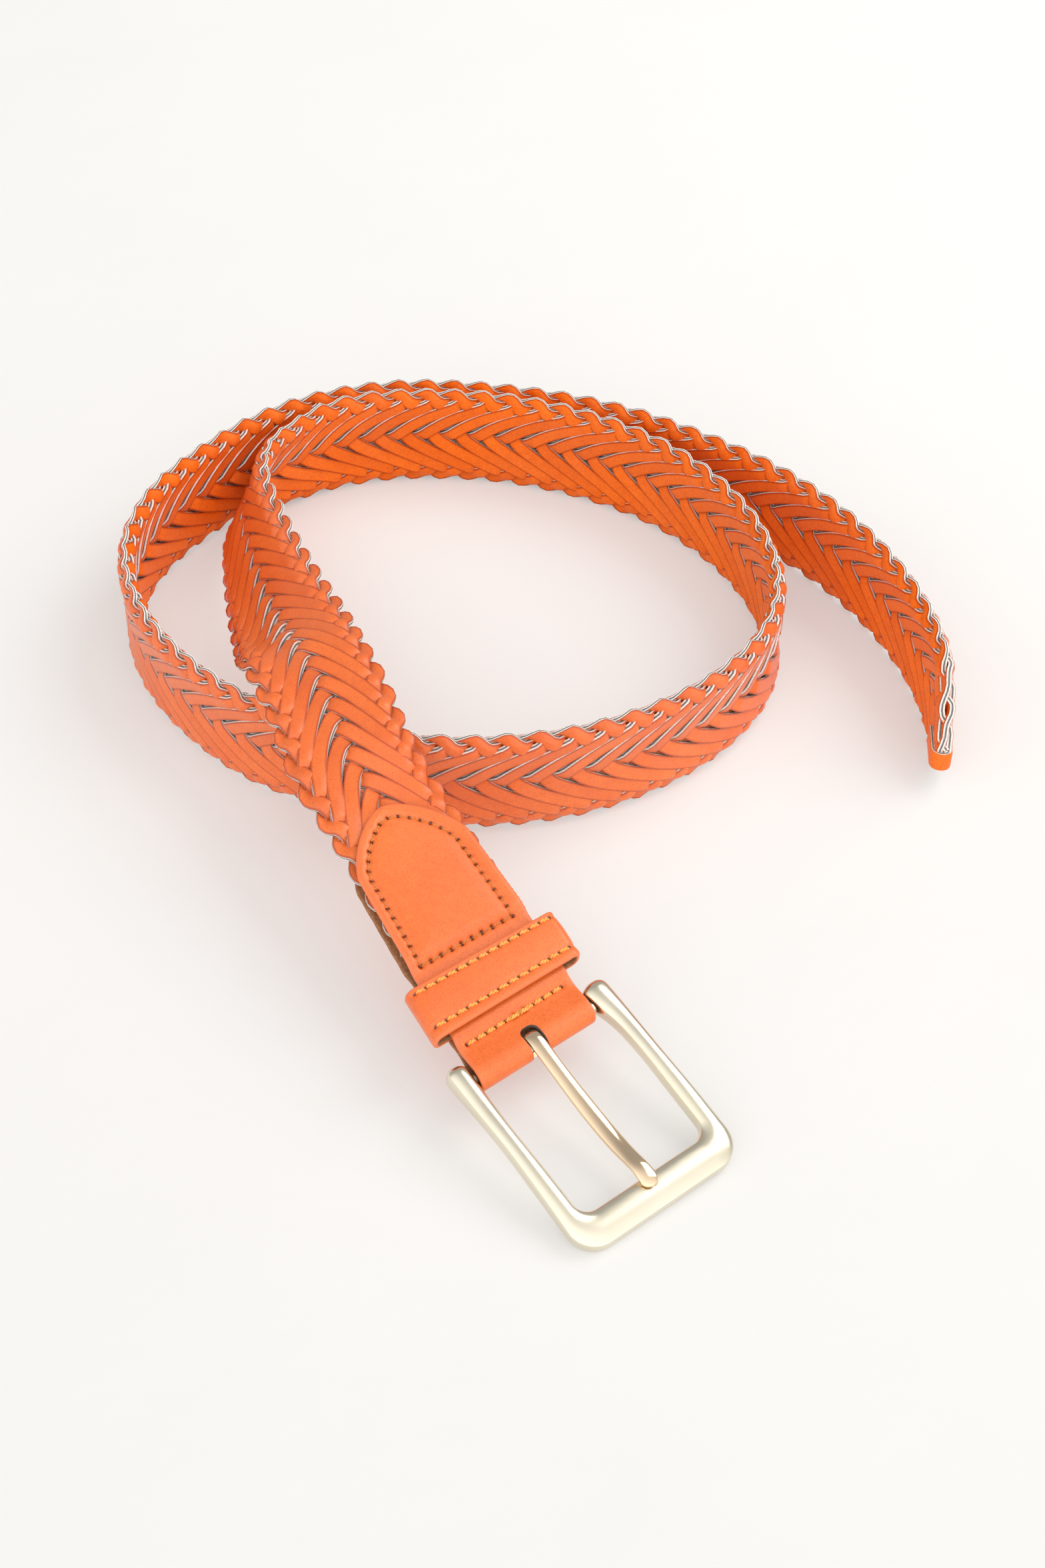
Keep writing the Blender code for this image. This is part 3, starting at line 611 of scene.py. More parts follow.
def cut_slot(tab, materials):
    """Cuts the prong's slot through the fold and both leaves."""
    cutter = tab_slot_cutter(materials)
    boolean = tab.modifiers.new("slot", "BOOLEAN")
    boolean.object = cutter
    boolean.operation = "DIFFERENCE"
    boolean.solver = "EXACT"
    evaluated = tab.evaluated_get(bpy.context.evaluated_depsgraph_get())
    mesh = bpy.data.meshes.new_from_object(evaluated)
    tab.modifiers.clear()
    tab.data = mesh
    bpy.data.objects.remove(cutter)
    mesh.set_sharp_from_angle(angle=math.radians(50.0))


def build_tab(materials):
    """Front leaf, fold and back leaf in one piece, slotted for the prong."""
    x, z, normal_x, normal_z, front_count = tab_middle_line()
    half = tab_half_width(np.minimum(x, CLOSING_ROW))
    y = half[:, None] * closer_to_edges(111)[None, :]
    plan_x = np.broadcast_to(x[:, None], y.shape)
    to_edge = nearest(plan_x, np.abs(y), spaced_along(tab_edge_line(), 0.25 * MM))
    to_side = np.where(plan_x > CLOSING_ROW, half[:, None] - np.abs(y), to_edge)
    thick = rounded_edge(to_side, LEAF)
    relief, pits = tab_relief(plan_x, y)
    on_front = np.arange(len(x))[:, None] < front_count
    fade = on_front * smooth_step(to_side / (1.2 * MM))

    def surface(offset):
        along = plan_x + normal_x[:, None] * offset
        return np.stack([along, y, z[:, None] + normal_z[:, None] * offset], -1)

    outer = surface(thick + relief * fade)
    rim = 1.0 - smooth_step((to_side - 0.2 * MM) / (1.1 * MM))
    shell = leather_sheet(outer, surface(-thick), y.shape[1] - 1, pit=pits * fade, rim=rim)
    tab = shell.build("tab_with_padding", materials)
    cut_slot(tab, materials)
    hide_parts("tab_leather")
    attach(tab, "buckle_end")


def add_plan_stitches(shell, holes, radius, rise):
    """Stitches between neighbouring holes on the front leaf."""
    places = np.column_stack([holes, front_height(holes[:, 0], holes[:, 1]) + THREAD_LIFT])
    world = on_tab(places)
    outward = np.array(tab_axes())[2]
    for start, end in zip(world, world[1:]):
        inset = 0.1 * (end - start)
        add_stitch(shell, start + inset, end - inset, outward, radius, rise)


def build_tab_threads(orange_thread, gold_thread):
    """The tab's outline and closing rows, and the straight row behind the fold."""
    outline, closing, turnback = tab_holes()
    shell = Shell()
    add_plan_stitches(shell, outline, *OUTLINE_THREAD)
    add_plan_stitches(shell, closing, *CLOSING_THREAD)
    thread = shell.build("outline_stitches", [orange_thread])
    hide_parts("tab_outline_thread")
    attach(thread, "buckle_end")
    shell = Shell()
    add_plan_stitches(shell, turnback, *TURNBACK_THREAD)
    middle = turnback[len(turnback) // 2 - 1 : len(turnback) // 2 + 2]
    doubled = middle + np.array([0.5 * MM, 1.1 * MM])
    add_plan_stitches(shell, doubled, *DOUBLED_THREAD)
    row = shell.build("turnback_stitches", [gold_thread])
    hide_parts("turnback_thread")
    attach(row, "buckle_end")


# ---------------------------------------------------------------- keeper loop


def keeper_heights():
    """Under side of the lining, then under side and upper side of the band's front run."""
    lining_low = float(half_gap(KEEPER_FRONT)) + LEAF + KEEPER_CLEARANCE
    low = lining_low + LINING_THICK + GAP
    return lining_low, low, low + KEEPER_RUN


def keeper_path():
    """The band's closed middle line in y and z, with its outward normals, evenly spaced."""
    _, low, high = keeper_heights()
    half = 0.5 * (KEEPER_HALF_WIDTH + KEEPER_INNER_HALF)
    top = 0.5 * (low + high)
    radius = 1.7 * MM
    corners = []
    for side, level, first in ((1, top, 0.0), (-1, top, 90.0), (-1, 0.0, 180.0), (1, 0.0, 270.0)):
        centre = np.array([side * (half - radius), level - radius if level else radius])
        angle = np.radians(first + np.linspace(0.0, 90.0, 9))[:, None]
        corners.append(centre + radius * np.concatenate([np.cos(angle), np.sin(angle)], axis=1))
    loop = np.concatenate(corners + [corners[0][:1]])
    path = spaced_along(loop, 0.3 * MM)[:-1]
    forward = unit(np.roll(path, -1, axis=0) - np.roll(path, 1, axis=0))
    return path, np.column_stack([forward[:, 1], -forward[:, 0]])


def keeper_rows():
    """Needle holes of both rows over the front run, as places x and y."""
    reach = KEEPER_INNER_HALF - 0.3 * MM
    rows = []
    for x in (KEEPER_REAR_ROW, KEEPER_FRONT_ROW):
        rows.append(spaced_along(np.array([[x, -reach], [x, reach]]), KEEPER_SPACING))
    return rows


def keeper_relief(x, y):
    """Height added to the band's outer face, and how deep each place lies in a hole."""
    relief = np.zeros_like(x)
    pits = np.zeros_like(x)
    for holes in keeper_rows():
        relief -= ROW_SINK * hump(x - holes[0, 0], 0.8 * MM)
        pits = np.maximum(pits, hump(nearest(x, y, holes), KEEPER_HOLE))
    middle = 0.5 * (KEEPER_REAR_ROW + KEEPER_FRONT_ROW)
    relief += KEEPER_CROWN * hump(x - middle, 3.4 * MM)
    relief += KEEPER_LIP * hump(x - KEEPER_FRONT + 1.2 * MM, 1.0 * MM)
    return relief - KEEPER_HOLE_DEPTH * pits, pits


def build_keeper(materials):
    """The band that runs once round the tab, with its sunk stitch rows."""
    path, outward = keeper_path()
    share = closer_to_edges(61)
    x = KEEPER_MIDDLE + KEEPER_HALF_RUN * share
    plan_x = np.broadcast_to(x[None, :], (len(path), len(x)))
    plan_y = np.broadcast_to(path[:, :1], plan_x.shape)
    to_edge = KEEPER_HALF_RUN - np.abs(plan_x - KEEPER_MIDDLE)
    thick = rounded_edge(to_edge, KEEPER_RUN)
    relief, pits = keeper_relief(plan_x, plan_y)
    on_top = smooth_step((path[:, 1] - 2.0 * MM) / (2.0 * MM))[:, None]
    fade = on_top * smooth_step(to_edge / (0.9 * MM))

    def surface(offset):
        y = path[:, :1] + outward[:, :1] * offset
        z = path[:, 1:] + outward[:, 1:] * offset
        return np.stack([plan_x, y, z], -1)

    outer = surface(thick + relief * fade)
    rim = 1.0 - smooth_step((to_edge - 0.1 * MM) / (0.8 * MM))
    shell = leather_sheet(outer, surface(-thick), len(x), wrap=True, pit=pits * fade, rim=rim)
    band = shell.build("keeper_loop", materials)
    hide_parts("keeper_band")
    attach(band, "keeper")


def build_keeper_threads(gold_thread):
    """Both rows of stitches over the band's front run."""
    along, _, outward = np.array(tab_axes())
    slant = 0.22 * MM * along
    _, _, high = keeper_heights()
    for holes, node in zip(keeper_rows(), ("keeper_thread_rear", "keeper_thread_front")):
        relief, _ = keeper_relief(holes[:, 0], holes[:, 1])
        world = on_tab(np.column_stack([holes, high + relief + 0.40 * MM]))
        shell = Shell()
        for start, end in zip(world, world[1:]):
            inset = 0.10 * (end - start)
            ends = (start + inset - slant, end - inset + slant)
            add_stitch(shell, *ends, outward, *KEEPER_THREAD)
        row = shell.build(node.replace("thread", "stitches"), [gold_thread])
        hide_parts(node)
        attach(row, "keeper")


def build_lining(materials):
    """Soft thin lining under the band's front run."""
    low, _, _ = keeper_heights()
    share = closer_to_edges(41)
    half_x = KEEPER_HALF_RUN - 1.0 * MM
    half_y = KEEPER_INNER_HALF - 2.0 * MM
    x = KEEPER_MIDDLE + half_x * share
    y = np.linspace(-half_y, half_y, 90)
    to_x = half_x * (1.0 - np.abs(share))
    to_y = half_y - np.abs(y)
    thick = rounded_edge(np.minimum(to_x[None, :], to_y[:, None]), LINING_THICK)
    thick = np.maximum(thick, 0.02 * MM)
    plan_x = np.broadcast_to(x, thick.shape)
    plan_y = np.broadcast_to(y[:, None], thick.shape)
    middle = low + 0.5 * LINING_THICK
    top = np.stack([plan_x, plan_y, middle + thick], -1)
    bottom = np.stack([plan_x, plan_y, middle - thick], -1)
    shell = Shell("pit", "rim")
    shell.tube(on_tab(np.concatenate([top, bottom[:, ::-1]], axis=1)), slots=1)
    lining = shell.build("keeper_soft_lining", materials)
    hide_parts("keeper_lining")
    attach(lining, "keeper")


# ---------------------------------------------------------------- buckle and prong

# Closed sections in shares of the half width and half thickness, from the inner wall over the
# top to the outer wall and back below.
ARM_SECTION = [
    (-1.0, -0.45), (-1.0, 0.0), (-0.94, 0.42), (-0.76, 0.74), (-0.42, 0.95), (0.0, 1.0),
    (0.42, 0.95), (0.76, 0.74), (0.94, 0.42), (1.0, 0.05), (1.0, -0.5), (0.93, -0.85),
    (0.7, -1.0), (0.0, -1.0), (-0.7, -1.0), (-0.93, -0.85),
]
FAR_SECTION = [
    (-1.0, -0.45), (-1.0, 0.1), (-0.96, 0.48), (-0.82, 0.78), (-0.5, 0.96), (-0.1, 1.0),
    (0.35, 0.9), (0.74, 0.68), (0.95, 0.5), (1.0, 0.36), (1.0, -0.55), (0.96, -0.88),
    (0.75, -1.0), (0.0, -1.0), (-0.75, -1.0), (-0.94, -0.85),
]


def frame_arch(x):
    """Rise of the frame's middle plane: none at the bar and at the far edge."""
    share = np.clip((x - FRAME_REAR) / (FRAME_FRONT - FRAME_REAR), 0.0, 1.0)
    return ARM_ARCH * np.sin(math.pi * share)


def rounded_section(points, rounds):
    """The closed section with its corners cut back and rounded."""
    points = np.array(points)
    for _ in range(rounds):
        following = np.roll(points, -1, axis=0)
        pair = [0.75 * points + 0.25 * following, 0.25 * points + 0.75 * following]
        points = np.stack(pair, axis=1).reshape(-1, 2)
    return points


def frame_boundary(front, half_width, corner):
    """One half of the frame's plan edge: right arm, corner, then the far bar to its middle."""
    straight = np.linspace(FRAME_BULB, front - corner, 44)
    arm = np.column_stack([straight, np.full(len(straight), half_width)])
    angle = np.linspace(0.5 * math.pi, 0.0, 15)[1:-1]
    turn = np.column_stack([np.cos(angle), np.sin(angle)]) * corner
    turn += np.array([front - corner, half_width - corner])
    level = np.linspace(half_width - corner, 0.0, 70)
    bar = np.column_stack([np.full(len(level), front), level])
    return np.concatenate([arm, turn, bar])


def frame_edges(side):
    """Outer and inner plan edges of one half, with the round rear end, the bulb and the waist.

    Also gives each place's share of the bulb and the share of full thickness in the rear end.
    """
    outer = frame_boundary(FRAME_FRONT, FRAME_HALF_WIDTH, OUTER_CORNER)
    inner = frame_boundary(WINDOW_FRONT, WINDOW_HALF_WIDTH, INNER_CORNER)
    rear = math.radians(90.0) - np.linspace(0.06, 1.0, 9)[:, None] * math.radians(90.0)
    arm_half = 0.5 * (FRAME_HALF_WIDTH - WINDOW_HALF_WIDTH)
    arm_middle = 0.5 * (FRAME_HALF_WIDTH + WINDOW_HALF_WIDTH)
    rear_x = FRAME_BULB - arm_half * np.sin(rear)
    rear_half = arm_half * np.cos(rear)
    outer = np.concatenate([np.hstack([rear_x, arm_middle + rear_half]), outer[1:]])
    inner = np.concatenate([np.hstack([rear_x, arm_middle - rear_half]), inner[1:]])
    bulb_share = hump(outer[:, :1] - FRAME_BULB, BULB_REACH)
    waist_share = hump(outer[:, :1] - WAIST_PLACE, WAIST_REACH)
    inner_swell = BULB_SWELL_RIGHT if side > 0 else BULB_SWELL_LEFT
    middle = 0.5 * (outer + inner)
    half_across = 0.5 * (outer - inner) * (1.0 - WAIST * waist_share)
    outer = middle + half_across * (1.0 + 0.04 * bulb_share)
    inner = middle - half_across * (1.0 + 2.0 * inner_swell * bulb_share)
    return outer, inner, bulb_share[:, 0], np.cos(rear[:, 0])


def frame_half(side):
    """Rings of the frame's right (1) or left (-1) half, from the bulb to the far bar's middle."""
    outer, inner, bulb_share, rear_thickness = frame_edges(side)
    thick = np.full(len(outer), 0.5 * FRAME_THICK)
    thick[: len(rear_thickness)] *= rear_thickness
    share = np.concatenate([np.zeros(len(rear_thickness) + 30), np.linspace(0.0, 1.0, 26)])
    share = smooth_step(np.concatenate([share, np.ones(len(outer) - len(share))]))
    arm_section = rounded_section(ARM_SECTION, 2)
    far_section = rounded_section(FAR_SECTION, 1)
    between = 0.5 * (far_section + np.roll(far_section, -1, 0))
    far_section = np.stack([far_section, between], 1).reshape(-1, 2)
    section = arm_section + (far_section - arm_section) * share[:, None, None]
    centre = 0.5 * (outer + inner)
    reach = 0.5 * (outer - inner)
    plan = centre[:, None, :] + reach[:, None, :] * section[..., :1]
    swell = 1.0 + BULB_LIFT * bulb_share
    height = section[..., 1] * (thick * swell)[:, None] + frame_arch(plan[..., 0])
    return np.concatenate([plan, height[..., None]], axis=2) * np.array([1.0, side, 1.0])


def build_frame(material):
    """The open frame: two arms with bulb ends and a broad far bar with the prong's seat."""
    rings = np.concatenate([frame_half(1.0), frame_half(-1.0)[-2::-1]])
    rings[..., 2] += UNDERSIDE_LIFT * (rings[..., 2] < -0.5 * FRAME_THICK)
    offset = np.abs(rings[..., 1] - PRONG_SHIFT)
    lowest = 0.5 * FRAME_THICK + frame_arch(TIP_END) - NOTCH_DEPTH
    seat = lowest + NOTCH_RADIUS - np.sqrt(np.maximum(0.0, NOTCH_RADIUS**2 - offset**2))
    beyond = np.maximum(0.0, rings[..., 0] - TIP_END + 1.6 * MM)
    seat = np.where(offset < NOTCH_RADIUS, seat + 0.5 * beyond**2 / MM, FAR_AWAY)
    rings[..., 2] = np.minimum(rings[..., 2], seat)
    shell = Shell()
    shell.tube(on_buckle(rings))
    frame = shell.build("frame_shell", [material], sharp=40.0)
    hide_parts("buckle_frame")
    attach(frame, "buckle")


def build_prong(material):
    """Eye round the bar, sagging shank and a blunt flared tip on the far bar."""
    eye_radius = 0.5 * (BAR_RADIUS + GAP + PRONG_EYE)
    eye_half = 0.5 * (PRONG_EYE - BAR_RADIUS - GAP)
    angle = np.radians(np.linspace(-40.0, -262.0, 23))
    half = 0.5 * PRONG_WIDTH
    eye = np.column_stack([
        eye_radius * np.cos(angle),
        eye_radius * np.sin(angle),
        np.full(len(angle), eye_half),
        np.full(len(angle), half),
    ])
    rest = 0.5 * FRAME_THICK + float(frame_arch(TIP_END)) + GAP
    # Along from the bar, height, half thickness and half width, in millimetres.
    shank = np.array([
        (3.2, 2.48, 0.86, 2.10),
        (7.0, 2.10, 1.02, 2.10),
        (14.0, 1.50, 1.18, 2.20),
        (24.0, 1.20, 1.25, 2.35),
        (33.0, 1.85, 1.22, 2.30),
        (38.0, 2.95, 1.15, 2.22),
        (41.5, rest / MM + 0.85, 1.0, 2.25),
        (44.2, rest / MM + 0.80, 0.88, 2.40),
        (TIP_END / MM - 1.0, rest / MM + 0.62, 0.72, 2.35),
        (TIP_END / MM, rest / MM + 0.5, 0.62, 2.25),
    ]) * MM
    knots = np.concatenate([eye, shank])
    distance = running_length(knots[:, :2])
    rows = spline_through(distance, knots, np.linspace(0.0, distance[-1], 260))
    forward = unit(np.gradient(rows[:, :2], axis=0))
    to_tip = np.linalg.norm(rows[:, :2] - rows[-1, :2], axis=1)
    rounding = np.sqrt(np.maximum(0.02, 1.0 - (1.0 - np.clip(to_tip / half, 0.0, 1.0)) ** 2))
    turn = np.linspace(0.0, 2.0 * math.pi, 49)[:-1]
    side = np.sign(np.cos(turn)) * np.abs(np.cos(turn)) ** 0.85
    up = np.sign(np.sin(turn)) * np.abs(np.sin(turn)) ** 0.85
    wide = (rows[:, 3] * rounding)[:, None] * side
    lift = (rows[:, 2] * (0.35 + 0.65 * rounding))[:, None] * up
    x = rows[:, :1] - forward[:, 1:] * lift
    z = rows[:, 1:2] + forward[:, :1] * lift
    shell = Shell()
    shell.tube(on_buckle(np.stack([x, PRONG_SHIFT + wide, z], -1)))
    prong = shell.build("prong_polished", [material], sharp=75.0)
    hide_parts("prong")
    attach(prong, "prong")


# ---------------------------------------------------------------- braid

# Each strip crosses the strap and back: over one strip, under five, over five, under one.
LEVELS = np.array([0, 1, -1, -1, -1, -1, -1, 1, 1, 1, 1, 1, -1, 0], dtype=float)
EDGE_SLOPE = 0.42
CENTRE_SLOPE = 1.0
TURN_SHARE = 0.11
REACH = 14.1 * MM
# At its turn a strip bulges out past its neighbours as a short rounded lobe.
LOBE = 1.2 * MM
LOBE_SHARE = 0.095
CROSS_HEIGHT = 1.0 * MM
CENTRE_TWIST = math.radians(26.0)
# Past the twist the woven strips lie closer, without raised edges.
CALM_FROM = 150.0 * MM
CALM_OVER = 70.0 * MM
EDGE_HEIGHT = 1.45
EDGE_CURL = 0.75 * MM
LOBE_THINNING = 0.35
TIP_NARROWING = 0.40
# How far the strap's lower and upper edges draw in at the tail's tip.
TIP_LOWER_CUT = 7.3 * MM
TIP_UPPER_CUT = 24.2 * MM
# Within the tab, from its mouth on, the braid is pressed flatter.
TAB_MOUTH = 70.0 * MM
MOUTH_OVER = 8.0 * MM
# The strip wrapped round the tail's end is wider and thinner than the woven ones.
WRAP_WIDTH = 1.45
WRAP_THICKNESS = 0.62
WRAP_LIFT = 2.5 * MM
WRAP_PLACE = -8.9 * MM


def sideways_profile():
    """A strip's place across the strap, from -1 to 1, over one traverse."""
    u = np.linspace(-1.0, 1.0, 801)
    inward = 1.0 - np.abs(u)
    slope = EDGE_SLOPE + (CENTRE_SLOPE - EDGE_SLOPE) * inward**2.5
    slope *= np.sin(0.5 * math.pi * np.minimum(1.0, inward / TURN_SHARE))
    place = np.concatenate([[0.0], np.cumsum(0.5 * (slope[1:] + slope[:-1]))])
    return 0.5 * (u + 1.0), 2.0 * place / place[-1] - 1.0


SIDEWAYS = sideways_profile()


def strip_place(strip, distance, length):
    """Place across the strap, height above its middle and twist of one strip at many distances."""
    cycle = STRIPS * PITCH
    step = ((length - distance + strip * PITCH) % cycle) / (0.5 * PITCH)
    leftward = step >= STRIPS
    step = np.where(leftward, step - STRIPS, step)
    across = np.interp(step / STRIPS, *SIDEWAYS)
    first = np.minimum(step.astype(int), STRIPS - 1)
    # A strip changes its level in the middle eight tenths of a step.
    share = smooth_step((step - first - 0.10) / 0.80)
    height = LEVELS[first] * (1.0 - share) + LEVELS[first + 1] * share
    # Strips that run leftward twist once they are past the strap's middle.
    rise = smooth_step((step - 0.5 * STRIPS) / 0.8) * smooth_step((0.85 - across) / 0.6)
    raised = 1.0 - smooth_step((distance - CALM_FROM) / CALM_OVER)
    twist = np.where(leftward, CENTRE_TWIST * rise * raised, 0.0)
    # Near the strap's edges they lie higher over one another.
    height = height * (1.0 + (EDGE_HEIGHT - 1.0) * smooth_step((np.abs(across) - 0.55) / 0.3))
    inward = 1.0 - np.abs(2.0 * step / STRIPS - 1.0)
    side = across * REACH + np.sign(across) * LOBE * hump(inward, LOBE_SHARE)
    return np.where(leftward, -side, side), height * CROSS_HEIGHT, twist


def strip_section():
    """Cross-section of a strip: points across and through it, and each segment's material."""
    half = 0.5 * STRIP_WIDTH
    t = 0.5 * STRIP_THICK
    face = half - 0.13 * MM
    rim = t - 0.14 * MM
    core = 0.27 * MM
    crown = 0.07 * MM
    shoulder = t + 0.7 * crown
    points = [(-face, t), (-0.5 * face, shoulder), (0.0, t + crown), (0.5 * face, shoulder)]
    points += [(face, t), (half, rim), (half, core), (half, -core), (half, -rim)]
    points += [(face, -t), (0.0, -t - 0.05 * MM), (-face, -t)]
    points += [(-half, -rim), (-half, -core), (-half, core), (-half, rim)]
    face_slot, pale_slot, dark_slot, rear_slot = 0, 1, 2, 3
    slots = [face_slot] * 5 + [pale_slot, dark_slot, pale_slot] + [rear_slot] * 4
    slots += [pale_slot, dark_slot, pale_slot, face_slot]
    return np.array(points), slots


def tip_edges(distance, length):
    """Edges of the strap, which tapers low and narrow at the tail's tip."""
    t = (distance - (length - TIP_WRAP - TIP_TAPER)) / (TIP_WRAP + TIP_TAPER)
    t = np.clip(t, 0.0, 1.0)
    return -0.5 * BRAID_WIDTH + TIP_LOWER_CUT * t**2, 0.5 * BRAID_WIDTH - TIP_UPPER_CUT * t**1.5


def strip_shape(side, height, inside_tab):
    """How far a strip's edges curl and how thick it is, by its place across the strap."""
    outermost = np.abs(side) / REACH
    curl = EDGE_CURL * np.tanh(height / (0.5 * MM)) * smooth_step((outermost - 0.62) / 0.3)
    curl *= 1.0 - 0.7 * inside_tab
    return curl, 1.0 - LOBE_THINNING * smooth_step((outermost - 0.9) / 0.15)


def strip_rings(route, strip, start, end):
    """Rings of one strip between two distances, and its own length at each ring."""
    count = int(round((end - start) / STATION)) + 1
    margin = 2
    step = (end - start) / (count - 1)
    distance = start + step * np.arange(-margin, count + margin)
    centre, _, across, normal = route.frames(np.clip(distance, 0.0, route.length))
    side, height, twist = strip_place(strip, distance, route.length)
    low, high = tip_edges(distance, route.length)
    side = 0.5 * (low + high) + side * (high - low) / BRAID_WIDTH
    inside_tab = 1.0 - smooth_step((distance - TAB_MOUTH) / MOUTH_OVER)
    height = height * (1.0 - 0.12 * inside_tab)
    path = centre + across * side[:, None] + normal * height[:, None]
    forward = unit(np.gradient(path, axis=0))
    right = unit(np.cross(forward, normal))
    outward = np.cross(right, forward)
    sideways = np.einsum("ij,ij->i", forward, across)
    calm = 1.0 - 0.1 * smooth_step((distance - CALM_FROM) / CALM_OVER)
    tilt = (twist - STRIP_TILT * np.tanh(sideways / 0.2) * calm) * (1.0 - 0.6 * inside_tab)
    curl, thin = strip_shape(side, height, inside_tab)
    wide = right * np.cos(tilt)[:, None] + outward * np.sin(tilt)[:, None]
    thick = outward * np.cos(tilt)[:, None] - right * np.sin(tilt)[:, None]
    keep = slice(margin, margin + count)
    profile, _ = strip_section()
    bow = 0.4 - (2.0 * profile[None, :, :1] / STRIP_WIDTH) ** 2
    bowed = profile[None, :, 1:] * thin[keep, None, None] + curl[keep, None, None] * bow
    narrow = 1.0 - TIP_NARROWING * (1.0 - (high - low) / BRAID_WIDTH)
    across_strip = profile[None, :, :1] * narrow[keep, None, None]
    rings = swept(path[keep], wide[keep], thick[keep], across_strip, bowed)
    return rings, running_length(path[keep])


def braid_piece(name, route, start, end, materials):
    """All thirteen strips between two distances, each closed at both ends."""
    profile, slots = strip_section()
    shell = Shell("strip_tone", "strip_along", "strip_across")
    across = profile[:, 0] / (0.5 * STRIP_WIDTH)
    for strip in range(STRIPS):
        rings, along = strip_rings(route, strip, start, end)
        tone = (strip * 0.381966) % 1.0
        values = {"strip_tone": tone, "strip_along": along[:, None], "strip_across": across}
        shell.tube(rings, slots, cap_slot=1, **values)
    obj = shell.build(name, materials, sharp=38.0)
    return obj


def build_braid(route, materials):
    """The strap in pieces that each cross one bend at most."""
    first_bend, second_bend, third_bend = TAIL_HINGES
    middle_1 = 0.5 * (first_bend + second_bend)
    middle_2 = 0.5 * (second_bend + third_bend)
    cuts = [BRAID_START, *COIL_CUTS, middle_1, middle_2, route.length - 1.5 * MM]
    pieces = [
        ("braid_lift", "buckle_end", "coil", LIFT_HINGE, ["braid_tab_end"]),
        ("braid_coil_1", "coil", None, None, ["braid_twist", "braid_first_turn"]),
        ("braid_coil_2", "coil", None, None, ["braid_right_turn"]),
        ("braid_coil_3", "coil", None, None, ["braid_front", "braid_left_turn"]),
        ("braid_bend_1", "coil", "tail_1", first_bend, ["braid_tail_1"]),
        ("braid_bend_2", "tail_1", "tail_2", second_bend, ["braid_tail_2"]),
        ("braid_bend_3", "tail_2", "tail_3", third_bend, ["braid_tail_3"]),
    ]
    for (name, first, second, hinge, nodes), start, end in zip(pieces, cuts, cuts[1:]):
        obj = braid_piece(name, route, start, end, materials)
        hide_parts(*nodes)
        if second is None:
            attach(obj, first)
        else:
            near = route.frames(np.array([hinge - HALF_BEND, hinge + HALF_BEND]))[0]
            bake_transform(obj)


def build_tail_wrap(route, materials):
    """One strip folded round the tail's end and stuck down on both faces."""
    turn_at = route.length - 2.6 * MM
    lift = WRAP_LIFT
    inner = [(d * MM, -lift) for d in (-9.0, -7.5, -6.0, -4.5, -3.0, -1.5)]
    angles = np.radians(np.linspace(-90.0, 90.0, 11))
    bend = [(0.9 * lift * math.cos(a), lift * math.sin(a)) for a in angles]
    outer = [(d * MM, lift) for d in (-1.5, -3.0, -4.5, -6.0)]
    line = spaced_along(np.array(inner + bend + outer), 0.5 * MM)
    profile, slots = strip_section()
    profile = profile * np.array([WRAP_WIDTH, WRAP_THICKNESS])
    centre, tangent, across, normal = route.frames(np.full(1, turn_at))
    share = np.linspace(0.0, 1.0, len(line))[:, None]
    side = WRAP_PLACE + 1.0 * MM * np.sin(math.pi * share) - 0.8 * MM * share
    path = centre + tangent * line[:, :1] + normal * line[:, 1:] + across * side
    forward = unit(np.gradient(path, axis=0))
    wide = unit(across - forward * np.einsum("ij,kj->ik", forward, across))
    thick = np.cross(wide, forward)
    rings = swept(path, wide, thick, profile[None, :, :1], profile[None, :, 1:])
    shell = Shell("strip_tone", "strip_along", "strip_across")
    shell.tube(rings, slots, cap_slot=1, strip_tone=0.3)
    wrap = shell.build("tail_wrap_strip", materials, sharp=38.0)
    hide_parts("tail_end_wrap")
    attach(wrap, "tail_3")


# ---------------------------------------------------------------- materials


